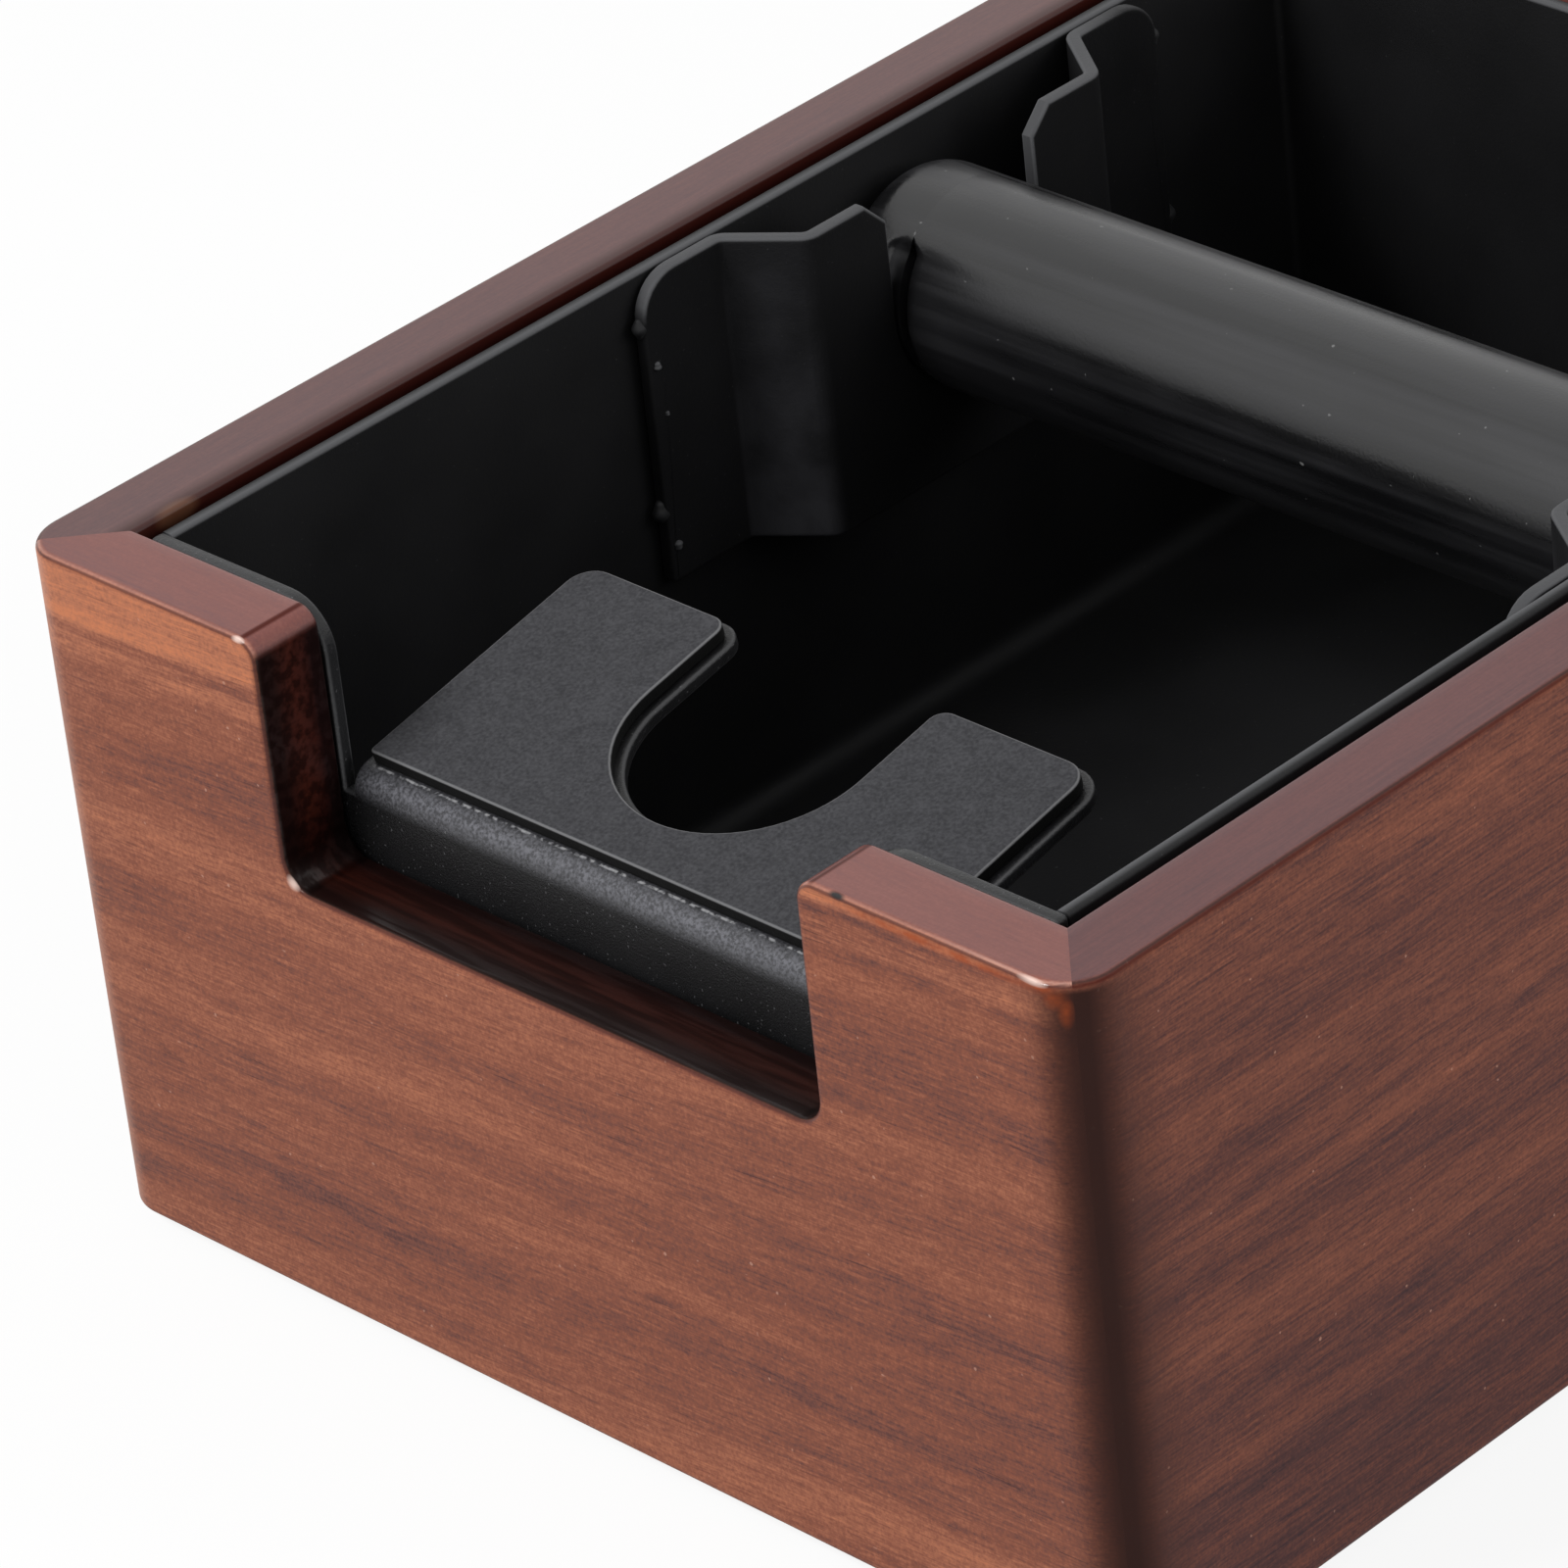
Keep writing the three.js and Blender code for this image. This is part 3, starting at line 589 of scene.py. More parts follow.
# %% Four woods
WARM_TONES = [
    (0.0, (0.045, 0.02, 0.022)), (0.3, (0.14, 0.053, 0.042)), (0.42, (0.2, 0.07, 0.047)),
    (0.5, (0.24, 0.08, 0.048)), (0.62, (0.305, 0.108, 0.064)), (0.8, (0.44, 0.162, 0.088)),
    (1.0, (0.57, 0.2, 0.095)),
]
DARK_TONES = [
    (0.0, (0.03, 0.014, 0.018)), (0.3, (0.09, 0.034, 0.03)), (0.5, (0.155, 0.054, 0.038)),
    (0.7, (0.24, 0.084, 0.052)), (1.0, (0.38, 0.13, 0.075)),
]
FRONT_FIGURE = [
    (0.0, 0.6), (0.07, 0.6), (0.12, 0.5), (0.3, 0.45), (0.42, 0.54), (0.62, 0.53), (0.8, 0.48),
    (0.87, 0.53), (0.88, 0.44), (0.89, 0.44), (0.905, 0.62), (0.928, 0.58), (0.936, 0.5), (0.944, 0.5),
    (0.956, 0.84), (1.0, 0.86),
]
SIDE_FIGURE = [(0.0, 0.34), (0.2, 0.4), (0.4, 0.48), (0.6, 0.46), (0.8, 0.56), (1.0, 0.54)]
FRONT_LACQUER = (0.72, 0.72, 1.0)
SIDE_LACQUER = (0.6, 0.56, 0.8)
LEFT_LACQUER = (0.6, 0.72, 1.0)
GRAIN_TILT = math.radians(3.2)
SIDE_CONTRAST = 1.3
# Painted light on the front: its wood is painted paler towards the left end, and its top arris carries
# a pale painted highlight
front_wood = wood_finish(
    "front_walnut", (0, GRAIN_TILT, 0), (0.3, 0, 0), FRONT_FIGURE, WARM_TONES, FRONT_LACQUER,
    painted_falloff=-0.45, edge_highlight=0.4,
)
back_wood = wood_finish(
    "back_walnut", (0, -GRAIN_TILT, 0), (1.7, 0.4, 0.2), SIDE_FIGURE, WARM_TONES, FRONT_LACQUER
)
right_wood = wood_finish(
    "right_walnut", (0, 0, -QUARTER), (0.9, 0.2, 0.6), SIDE_FIGURE, DARK_TONES, SIDE_LACQUER,
    SIDE_CONTRAST,
)
left_wood = wood_finish(
    "left_walnut", (0, 0, -QUARTER), (2.6, 0.9, 0.1), SIDE_FIGURE, DARK_TONES, LEFT_LACQUER,
    SIDE_CONTRAST, inner_darkening=0.96,
)
for wood in (front_wood, back_wood, right_wood, left_wood):
    print(wood.name, "has", len(wood.node_tree.nodes), "nodes")

# %% [markdown]
# Each board is a stack of slices from its outer face to its inner one. A slice is the board's
# outline at that depth: the ends follow the case's round corner and then the mitre, and the top and
# bottom drop where the slice is close to a face, which rounds the long edges. The front board's
# slices take the notch in as well. Cutting a finished board with a boolean would be shorter, but it
# leaves the notch's edges sharp, and here they catch the light.

# %% Boards
OUTER_EDGE = 0.8 * MM
INNER_EDGE = 0.6 * MM
FLAT_MARGIN = 0.3 * MM
MITRE_LINE = 0.002 * MM
NOTCH_BOTTOM_RADIUS = 3.5 * MM
NOTCH_TOP_RADIUS = 2.6 * MM
END_ZONE = CORNER_RADIUS + 4 * MM
SIDE_STEPS = 14
PLAIN_STEPS = 15
RISE_STEPS = 14
SLICE_GAP = 0.02 * MM


def rounding(distance, radius):
    """How far a round edge falls back at a distance from the face: r - sqrt(r^2 - (r - d)^2)."""
    inside = np.clip(radius - distance, 0, radius)
    return radius - np.sqrt(np.maximum(radius**2 - inside**2, 0))


def slice_depths():
    """Depths of the slices: close together through both round edges and the corner, also where the
    outer edge meets the mitre."""
    turn = np.linspace(0, QUARTER, 9)
    outer = OUTER_EDGE * (1 - np.cos(turn))
    corner = CORNER_RADIUS * (1 - np.cos(turn / 2))
    mitre = CORNER_RADIUS - (CORNER_RADIUS - outer) / math.sqrt(2)
    middle = np.linspace(mitre[-1], BOARD - INNER_EDGE, 6)
    inner = BOARD - INNER_EDGE * (1 - np.cos(turn[::2][::-1]))
    depth = np.sort(np.concatenate([outer, corner, mitre, middle, inner]))
    return depth[np.concatenate([[True], np.diff(depth) > SLICE_GAP])]


def outer_distance(depth, along, half):
    """Distance from the case's outer surface, flat or round, at a depth and a place along the board."""
    beyond = np.maximum(np.abs(along) - half + CORNER_RADIUS, 0)
    round_part = CORNER_RADIUS - np.hypot(beyond, np.maximum(CORNER_RADIUS - depth, 0))
    return np.maximum(np.where((beyond > 0) & (depth < CORNER_RADIUS), round_part, depth), 0)


def slice_fall(depth, along, half):
    """How far top and bottom fall back at a depth and a place along the board."""
    outside = rounding(outer_distance(depth, along, half), OUTER_EDGE)
    return np.maximum(outside, rounding(BOARD - depth, INNER_EDGE))


def slice_end(depth, half):
    """Half length of a slice: on the round corner near the face, on the mitre behind it."""
    chord = np.sqrt(np.maximum(CORNER_RADIUS**2 - (CORNER_RADIUS - depth) ** 2, 0))
    on_round = depth < CORNER_RADIUS * (1 - math.cos(QUARTER / 2))
    return np.where(on_round, half - CORNER_RADIUS + chord, half - depth) - MITRE_LINE


def notch_path():
    """The notch from its right shoulder to its left one: points, their outward side, how far each
    belongs to the dark cut, and how far to the stained line where a shoulder starts. The shoulder's
    top is still bright, its lower half is dark."""
    centre = (NOTCH_HALF + NOTCH_TOP_RADIUS, CASE_TOP - NOTCH_TOP_RADIUS)
    right_shoulder = arc(centre, NOTCH_TOP_RADIUS, 90, 180, 12)
    corner = (NOTCH_HALF - NOTCH_BOTTOM_RADIUS, NOTCH_BOTTOM + NOTCH_BOTTOM_RADIUS)
    right_corner = arc(corner, NOTCH_BOTTOM_RADIUS, 0, -90, 10)
    shoulder_out = (right_shoulder - centre) / NOTCH_TOP_RADIUS
    corner_out = (corner - right_corner) / NOTCH_BOTTOM_RADIUS
    points = np.concatenate([right_shoulder, right_corner])
    out = np.concatenate([shoulder_out, corner_out])
    shoulder_dark = np.clip((0.5 - shoulder_out[:, 1]) / 0.3, 0, 1)
    dark = np.concatenate([shoulder_dark, np.ones(len(right_corner))])
    line = np.where((out[:, 1] > 0.94) & (out[:, 1] < 0.999), 1.0, 0.0)
    mirror = np.array([-1, 1])
    return (
        np.concatenate([points, points[::-1] * mirror]),
        np.concatenate([out, out[::-1] * mirror]),
        np.concatenate([dark, dark[::-1]]),
        np.concatenate([line, line[::-1]]),
    )


def board_points(half, notched):
    """Slices by depth, each an outline from bottom left round to top left; columns line up. With
    the points come each slice's depth and each column's share in the dark cut and in the stained
    line at the shoulders."""
    depth = np.concatenate([[0], slice_depths(), [BOARD]])[:, None]
    margin = np.zeros_like(depth)
    margin[[0, -1]] = FLAT_MARGIN
    end = slice_end(depth, half) - margin
    zone = half - END_ZONE
    ease = 1 - (1 - np.linspace(0, 1, SIDE_STEPS)) ** 2
    side = zone + (end - zone) * ease
    plain = np.linspace(-zone, zone, PLAIN_STEPS + 2)[1:-1]
    plain = np.broadcast_to(plain, (len(depth), PLAIN_STEPS))
    bottom_x = np.concatenate([-side[:, ::-1], plain, side], 1)
    fall = slice_fall(depth, bottom_x, half) + margin
    bottom = np.stack([bottom_x, CASE_BOTTOM + fall], -1)
    if notched:
        path, out, *notch_marks = notch_path()
        edge_fall = slice_fall(depth, np.zeros((1, 1)), half) + margin
        notch = path[None] - out[None] * edge_fall[..., None]
        top_right = np.stack([side[:, ::-1], CASE_TOP - fall[:, -SIDE_STEPS:][:, ::-1]], -1)
        top_left = np.stack([-side, CASE_TOP - fall[:, -SIDE_STEPS:]], -1)
        top = np.concatenate([top_right, notch, top_left], 1)
        top_marks = np.pad(notch_marks, ((0, 0), (SIDE_STEPS, SIDE_STEPS)))
    else:
        top = np.stack([bottom_x[:, ::-1], CASE_TOP - fall[:, ::-1]], -1)
        top_marks = np.zeros((2, top.shape[1]))
    turn = np.linspace(0, 2 * QUARTER, RISE_STEPS + 2)[1:-1]
    rise = (1 - np.cos(turn))[None, :, None] / 2
    right = bottom[:, -1:] + (top[:, :1] - bottom[:, -1:]) * rise
    left = top[:, -1:] + (bottom[:, :1] - top[:, -1:]) * rise
    outline = np.concatenate([bottom, right, top, left], 1)
    marks = np.zeros((2, outline.shape[1]))
    first = bottom.shape[1] + right.shape[1]
    marks[:, first:first + top.shape[1]] = top_marks
    depths = np.broadcast_to(depth[..., None], outline.shape[:2] + (1,))
    return np.concatenate([outline[..., :1], depths, outline[..., 1:]], -1), depth[:, 0], marks


def mark(piece, name, values):
    """Keep one number per point for the material to read."""
    layer = piece.data.attributes.new(name, "FLOAT", "POINT")
    layer.data.foreach_set("value", np.asarray(values, dtype=np.float32).ravel())


def ridge(values, middle, slope, height=1.4):
    """Height less slope times the distance from the middle, kept between 0 and 1."""
    return np.clip(height - np.abs(values - middle) * slope, 0, 1)


def make_board(name, half, across, turn, notched):
    """The board along X, facing -Y, then turned about Z to its side of the case."""
    grid, depth, (dark, line) = board_points(half, notched)
    rows, columns = grid.shape[:2]
    faces = grid_faces(rows, columns, close_columns=True)
    faces.append(list(range(columns)))
    faces.append(list(range((rows - 1) * columns, rows * columns)))
    local = grid.reshape(-1, 3)
    turned = np.stack([
        local[:, 0] * math.cos(turn) - (local[:, 1] - across) * math.sin(turn),
        local[:, 0] * math.sin(turn) + (local[:, 1] - across) * math.cos(turn),
        local[:, 2],
    ], -1)
    piece = make_piece(name, turned, faces)
    inside = outer_distance(depth[:, None], grid[..., 0], half) / OUTER_EDGE
    upper = grid[..., 2] > (CASE_BOTTOM + CASE_TOP) / 2
    narrow = np.clip(inside - 0.1, 0, 1)
    sawn = np.clip(depth / OUTER_EDGE * 4 - 0.9, 0, 1)[:, None]
    mark(piece, "edge", ridge(inside, 0.22, 7) * upper)
    mark(piece, "arris", ridge(inside, 0.55, 4) * upper * (1 - dark))
    mark(piece, "line", line * narrow)
    mark(piece, "polish", narrow)
    mark(piece, "cut", dark * sawn)
    return piece


half_width = CASE_WIDTH / 2
half_depth = CASE_DEPTH / 2
for side, half, across, turn, wood in (
    ("front", half_width, half_depth, 0, front_wood),
    ("right", half_depth, half_width, QUARTER, right_wood),
    ("back", half_width, half_depth, 2 * QUARTER, back_wood),
    ("left", half_depth, half_width, -QUARTER, left_wood),
):
    board = make_board("board_" + side, half, across, turn, side == "front")
    put_on(board, side + "_board", "case", wood)

# %% [markdown]
# The liner is sheet steel under a fine matte powder coat. Powder melts into a skin like the peel of an
# orange, so the recipe is nearly black with two sizes of small bumps, a little dust that settles in
# it, and the roughness changing from spot to spot.

# %% Powder coat
DUST_AND_SPARKLE_GREY = (0.1, 0.1, 0.105)
GLUE_GREY = (0.34, 0.34, 0.35)
PAINTED_HIGHLIGHT_GREY = (0.075, 0.076, 0.08)


def powder_coat(
    name, peel=0.00004, black=0.0066, grain_scale=1500, rough=0.48, shine=0.22, dust_and_sparkle=0.3, painted_light=0.0,
    painted_light_grain=110, seam=None,
):
    """Two sizes of small bumps under a nearly black skin, with light specks in it: dust, and where
    their share is raised, painted sparkle. A larger peel breaks the lamp's reflection into sparkles.
    Where the painted-light attribute is set, the coat is painted lighter, as painted light. A seam,
    given by its place along Y and its half length, shows as a dotted line of dried glue."""
    material, tree, shader = recipe(name)
    place = object_place(tree)
    coarse = noise(tree, place, scale=grain_scale, detail=2)
    fine = noise(tree, place, scale=2.4 * grain_scale, detail=1)
    relief = plus(tree, times(tree, coarse, 0.6), times(tree, fine, 0.4))
    cloud = noise(tree, place, scale=60, detail=4)
    deep = (black * 0.7, black * 0.7, black * 0.75)
    pale = (black * 1.3, black * 1.3, black * 1.4)
    colour = blend(tree, cloud, deep, pale)
    # Light specks: dust, and at a raised share painted sparkle
    dust = noise(tree, place, scale=3100, detail=0)
    dust = spread(tree, dust, 0.87 - dust_and_sparkle * 0.14, 0.93 - dust_and_sparkle * 0.14)
    colour = laid_over(tree, colour, dust, DUST_AND_SPARKLE_GREY, dust_and_sparkle)
    # Painted light: a lighter tone where the painted-light attribute is set
    if painted_light:
        uneven = spread(tree, noise(tree, place, scale=painted_light_grain, detail=4), 0.38, 0.62, 0.3, 1.0)
        painted_light_share = times(tree, attribute(tree, "painted_light"), uneven)
        colour = laid_over(tree, colour, painted_light_share, (painted_light, painted_light, painted_light * 1.12))
    if seam:
        seam_y, seam_half = seam
        x, y, _ = parts_of(tree, place)
        beside = calc(tree, "ABSOLUTE", minus(tree, y, seam_y))
        on_seam = spread(tree, beside, 0.08 * MM, 0.22 * MM, 1.0, 0.0)
        in_reach = spread(tree, calc(tree, "ABSOLUTE", x), seam_half - MM, seam_half, 1.0, 0.0)
        dots = spread(tree, noise(tree, place, scale=1300, detail=2), 0.46, 0.62)
        colour = laid_over(tree, colour, times(tree, on_seam, in_reach, dots), GLUE_GREY, 0.8)
    # Painted highlight: light grey where the edge attribute is set
    colour = laid_over(tree, colour, attribute(tree, "edge"), PAINTED_HIGHLIGHT_GREY)
    gloss = spread(tree, cloud, 0.3, 0.7, rough, rough + 0.1)
    dress(tree, shader, colour, gloss, bump(tree, relief, peel), {"Specular IOR Level": shine})
    return material


liner_coat = powder_coat("powder_coat")
bracket_coat = powder_coat("powder_coat_brackets", peel=0.00005, black=0.006, painted_light=0.05)

# %% [markdown]
# The tray is one sheet folded up on three sides. Its surface is a set of open U shapes: the first
# runs along the floor inside, the next ones climb the bend and the walls, roll over the rim, and come
# back down outside. The last face closes the front, where the sheet's cut edge shows.

# %% Tray
FLOOR_BEND = 3 * MM
RIM_ROUND = 0.5 * MM
REAR_CORNER = 1.0 * MM
SMALLEST_CORNER = 0.02 * MM
tray_floor = tray_low.z + SHEET
inner_half = tray_high.x - SHEET
inner_rear = tray_high.y - SHEET
tray_front = wall_low.y + SHEET


def tray_levels():
    """Offsets from the inner wall and heights, from the floor inside to the floor outside."""
    bend = np.linspace(0, QUARTER, 7)
    roll = np.linspace(0, QUARTER, 4)
    inner_bend = np.stack([
        FLOOR_BEND * (np.sin(bend) - 1),
        tray_floor + FLOOR_BEND * (1 - np.cos(bend)),
    ], -1)
    inner_roll = np.stack([
        RIM_ROUND * (1 - np.cos(roll)),
        RIM - RIM_ROUND * (1 - np.sin(roll)),
    ], -1)
    outer_roll = inner_roll[::-1] * (-1, 1) + (SHEET, 0)
    outer_radius = FLOOR_BEND + SHEET
    outer_bend = np.stack([
        SHEET - outer_radius * (1 - np.sin(bend)),
        tray_low.z + outer_radius * (1 - np.cos(bend)),
    ], -1)[::-1]
    flat_inside = inner_bend[:1] - (FLAT_MARGIN, 0)
    flat_outside = outer_bend[-1:] - (FLAT_MARGIN, 0)
    return np.concatenate([flat_inside, inner_bend, inner_roll, outer_roll, outer_bend, flat_outside])


def tray_points():
    """One U per level, from the front along the left wall, round the rear and back to the front."""
    offset, height = tray_levels().T[:, :, None]
    half = inner_half + offset
    rear = inner_rear + offset
    corner = np.maximum(REAR_CORNER + offset, SMALLEST_CORNER)
    run = np.linspace(0, 1, 10)[None]
    turn = np.linspace(0, QUARTER, 5)[None]
    left_y = tray_front + (rear - corner - tray_front) * run
    left_x = np.broadcast_to(-half, left_y.shape)
    turn_x = -half + corner * (1 - np.cos(turn))
    turn_y = rear - corner * (1 - np.sin(turn))
    rear_x = (half - corner) * (2 * run[:, 1:-1] - 1)
    rear_y = np.broadcast_to(rear, rear_x.shape)
    x = np.concatenate([left_x, turn_x[:, 1:], rear_x, -turn_x[:, ::-1], -left_x[:, 1:]], 1)
    y = np.concatenate([left_y, turn_y[:, 1:], rear_y, turn_y[:, ::-1], left_y[:, ::-1][:, 1:]], 1)
    return np.stack([x, y, np.broadcast_to(height, x.shape)], -1)


tray_grid = tray_points()
tray_rows, tray_columns = tray_grid.shape[:2]
tray_faces = grid_faces(tray_rows, tray_columns)
tray_faces.append(list(range(tray_columns)))
tray_faces.append(list(range((tray_rows - 1) * tray_columns, tray_rows * tray_columns))[::-1])
left_ends = [row * tray_columns for row in range(tray_rows)]
right_ends = [row * tray_columns + tray_columns - 1 for row in range(tray_rows)]
tray_faces.append(left_ends[::-1] + right_ends)
tray = make_piece("tray", tray_grid.reshape(-1, 3), tray_faces)
level_offset, level_height = tray_levels().T
# The rim's round top carries a painted highlight, strong on its inner half and faint on its outer half
tray_rim_highlight = np.where(level_offset < RIM_ROUND * 1.01, 1.0, 0.05) * (level_height > RIM - RIM_ROUND * 0.9)
mark(tray, "edge", np.repeat(tray_rim_highlight, tray_columns))
put_on(tray, "liner_tray", "liner", liner_coat)

# %% [markdown]
# The front wall with its rest, and the two brackets, are made the way a workshop makes them: the
# blank is cut flat, with softened edges, scored at its fold lines and then folded. In the flat, the
# blank is an outline carried through the sheet's thickness. Folding is a function that sends each
# flat point to its place, so the slot and the round corners keep their true shape.

# %% Cutting and folding a blank
SHEET_EDGE = 0.45 * MM
CUT_CORNER = 0.6 * MM
SAME_PLACE = 1e-8


def edge_normals(outline):
    """Outward direction at each corner of a closed counter-clockwise outline, lengthened at corners."""
    before = outline - np.roll(outline, 1, 0)
    after = np.roll(outline, -1, 0) - outline
    before /= np.linalg.norm(before, axis=1, keepdims=True)
    after /= np.linalg.norm(after, axis=1, keepdims=True)
    out = np.stack([before[:, 1] + after[:, 1], -before[:, 0] - after[:, 0]], -1)
    return out / (1 + np.sum(before * after, 1, keepdims=True))


def blank_grid(outline, thickness, edge_radius, steps=4):
    """The outline at each level through the sheet, drawn in where the level is near a face."""
    turn = np.linspace(0, QUARTER, steps)
    near = edge_radius * (1 - np.sin(turn))
    level_in = edge_radius * (1 - np.cos(turn))
    margin = min(FLAT_MARGIN, edge_radius)
    inset = np.concatenate([[edge_radius + margin], near, near[::-1], [edge_radius + margin]])
    level = np.concatenate([[0], level_in, thickness - level_in[::-1], [thickness]])
    flat = outline[None] - edge_normals(outline)[None] * inset[:, None, None]
    height = np.broadcast_to(level[:, None, None], flat.shape[:2] + (1,))
    return np.concatenate([flat, height], -1)


def cut_blank(outline, thickness, edge_radius, scores=(), across=(0, 1, 0)):
    """A closed flat blank, split along straight score lines so that it can be folded there."""
    grid = blank_grid(outline, thickness, edge_radius)
    rows, columns = grid.shape[:2]
    faces = grid_faces(rows, columns, close_columns=True)
    faces.append(list(range(columns))[::-1])
    faces.append(list(range((rows - 1) * columns, rows * columns)))
    mesh = bpy.data.meshes.new("blank")
    mesh.from_pydata(grid.reshape(-1, 3).tolist(), [], faces)
    work = bmesh.new()
    work.from_mesh(mesh)
    direction = Vector(across)
    for score in scores:
        everything = work.verts[:] + work.edges[:] + work.faces[:]
        bmesh.ops.bisect_plane(
            work, geom=everything, plane_co=direction * score, plane_no=direction, dist=SAME_PLACE
        )
    work.to_mesh(mesh)
    work.free()
    points = np.empty(len(mesh.vertices) * 3)
    mesh.vertices.foreach_get("co", points)
    cut_faces = [list(face.vertices) for face in mesh.polygons]
    bpy.data.meshes.remove(mesh)
    return points.reshape(-1, 3), cut_faces


def mirrored(right_side):
    """A closed outline from its right half, whose last point lies on the middle line."""
    return np.concatenate([right_side, right_side[:-1][::-1] * (-1, 1)])


def painted_edge_highlights(points, flat=0.12):
    """1 on the two softened edges of a cut sheet, a share on the flat of the cut, 0 on its faces. These
    shares set where a grey painted highlight goes."""
    level = np.minimum(points[:, 2], SHEET - points[:, 2])
    return np.where(level > SHEET_EDGE * 0.6, flat, np.where(level > SHEET_EDGE * 0.05, 1.0, 0.0))


# %% [markdown]
# The front's blank is a wide wall with a tongue in the middle. The tongue is bent back over a small
# radius and slopes up by about eleven degrees. Two narrow slits let it bend beside the posts.

# %% Front wall and rest
REST_DROP = 22.2 * MM
REST_BEND = 3 * MM
REST_SLOPE = math.radians(11.2)
REST_LENGTH = 35.6 * MM
REST_HALF = 38.3 * MM
REST_CORNER = 4.4 * MM
REST_SLOT = 14.4 * MM
REST_SLOT_CENTRE = 21.8 * MM
REST_MOUTH = 3.1 * MM
LINER_SHOULDER = 6 * MM

bend_start = RIM - REST_DROP
bend_turn = QUARTER - REST_SLOPE
bend_end = bend_start + REST_BEND * bend_turn
rest_y = wall_low.y + REST_BEND * (1 - math.sin(REST_SLOPE))
rest_z = bend_start + REST_BEND * math.cos(REST_SLOPE)


def rest_side(half, length, corner, slot, mouth):
    """Right half of the rest's far end: outer corner, mouth of the slot, and the slot's quarter."""
    return np.concatenate([
        arc((half - corner, length - corner), corner, 0, 90),
        arc((slot + mouth, length - mouth), mouth, 90, 180),
        arc((0, REST_SLOT_CENTRE), slot, 0, -90, 16)[:-1],
    ])


def front_blank():
    """The flat wall with its notch, and the rest as a tongue beyond the bend."""
    wall_half = wall_high.x
    low = wall_low.z
    bend = FLOOR_BEND + SHEET
    end = rest_side(REST_HALF, REST_LENGTH, REST_CORNER, REST_SLOT, REST_MOUTH) + (0, bend_end)
    return mirrored(np.concatenate([
        arc((wall_half - bend, low + bend), bend, -90, 0),
        arc((wall_half - CUT_CORNER, RIM - CUT_CORNER), CUT_CORNER, 0, 90, 3),
        arc((NOTCH_HALF + LINER_SHOULDER, RIM - LINER_SHOULDER), LINER_SHOULDER, 90, 180),
        [(NOTCH_HALF, bend_start), (REST_HALF, bend_start)],
        end,
        [(0, bend_end + REST_SLOT_CENTRE - REST_SLOT)],
    ]))


def fold_front(points):
    """Below the bend a point stays upright. In the bend it turns about the bend's axis. Beyond it,
    it runs up the slope. Posts beside the tongue stay upright all the way."""
    across, length, depth = points.T
    tongue = np.abs(across) < (REST_HALF + NOTCH_HALF) / 2
    turn = np.where(tongue, np.clip((length - bend_start) / REST_BEND, 0, bend_turn), 0)
    beyond = np.where(tongue, np.maximum(length - bend_end, 0), 0)
    upright = np.where(tongue, np.minimum(length, bend_start), length)
    radius = REST_BEND - depth
    y = wall_low.y + REST_BEND - radius * np.cos(turn) + beyond * math.cos(REST_SLOPE)
    z = upright + radius * np.sin(turn) + beyond * math.sin(REST_SLOPE)
    return np.stack([across, y, z], -1)


score_lines = np.linspace(bend_start, bend_end, 9)
front_points, front_faces = cut_blank(front_blank(), SHEET, SHEET_EDGE, score_lines)
liner_front = make_piece("front_wall_and_rest", fold_front(front_points), front_faces)
# Painted highlight along the sheet's edges, weaker on the rest beyond the bend
highlight_share = np.where(front_points[:, 1] > bend_end, 0.35, 1)
mark(liner_front, "edge", painted_edge_highlights(front_points) * highlight_share)
# Painted highlight: a lighter band across the middle of the rest's bend
bend_share = (front_points[:, 1] - bend_start) / (bend_end - bend_start)
on_tongue = np.abs(front_points[:, 0]) < REST_HALF + MM
mark(liner_front, "painted_light", ridge(bend_share, 0.5, 1.7, 1.1) * on_tongue)
# The front's coat has dense light specks: dust, and painted sparkle
front_coat = powder_coat(
    "powder_coat_front", peel=0.00009, black=0.008, grain_scale=3300, rough=0.3, shine=0.4,
    dust_and_sparkle=0.75, painted_light=0.13, painted_light_grain=2600, seam=(rest_y - 0.3 * MM, REST_HALF - 1.1 * MM),
)
put_on(liner_front, "liner_front", "liner", front_coat)

# %% [markdown]
# The mat is a die-cut sheet of grey rubber, glued on the rest. It is the same outline a little
# smaller, lying in the slope. Rubber scatters light evenly, so it has no gloss to speak of; its cut
# edge carries a painted highlight along the top and painted shade down its side, and the surface is
# faintly mottled.

# %% Mat
MAT_HALF = 37.2 * MM
MAT_LENGTH = 34.5 * MM
MAT_CORNER = 3.3 * MM
MAT_SLOT = 15.5 * MM
MAT_MOUTH = 2.0 * MM
MAT_TOP = 1.8 * MM
MAT_BOTTOM = 0.03 * MM
MAT_EDGE = 0.3 * MM
PAINTED_MAT_EDGE_HIGHLIGHT = (0.2, 0.2, 0.205)
PAINTED_MAT_SIDE_SHADE = (0.004, 0.004, 0.004)


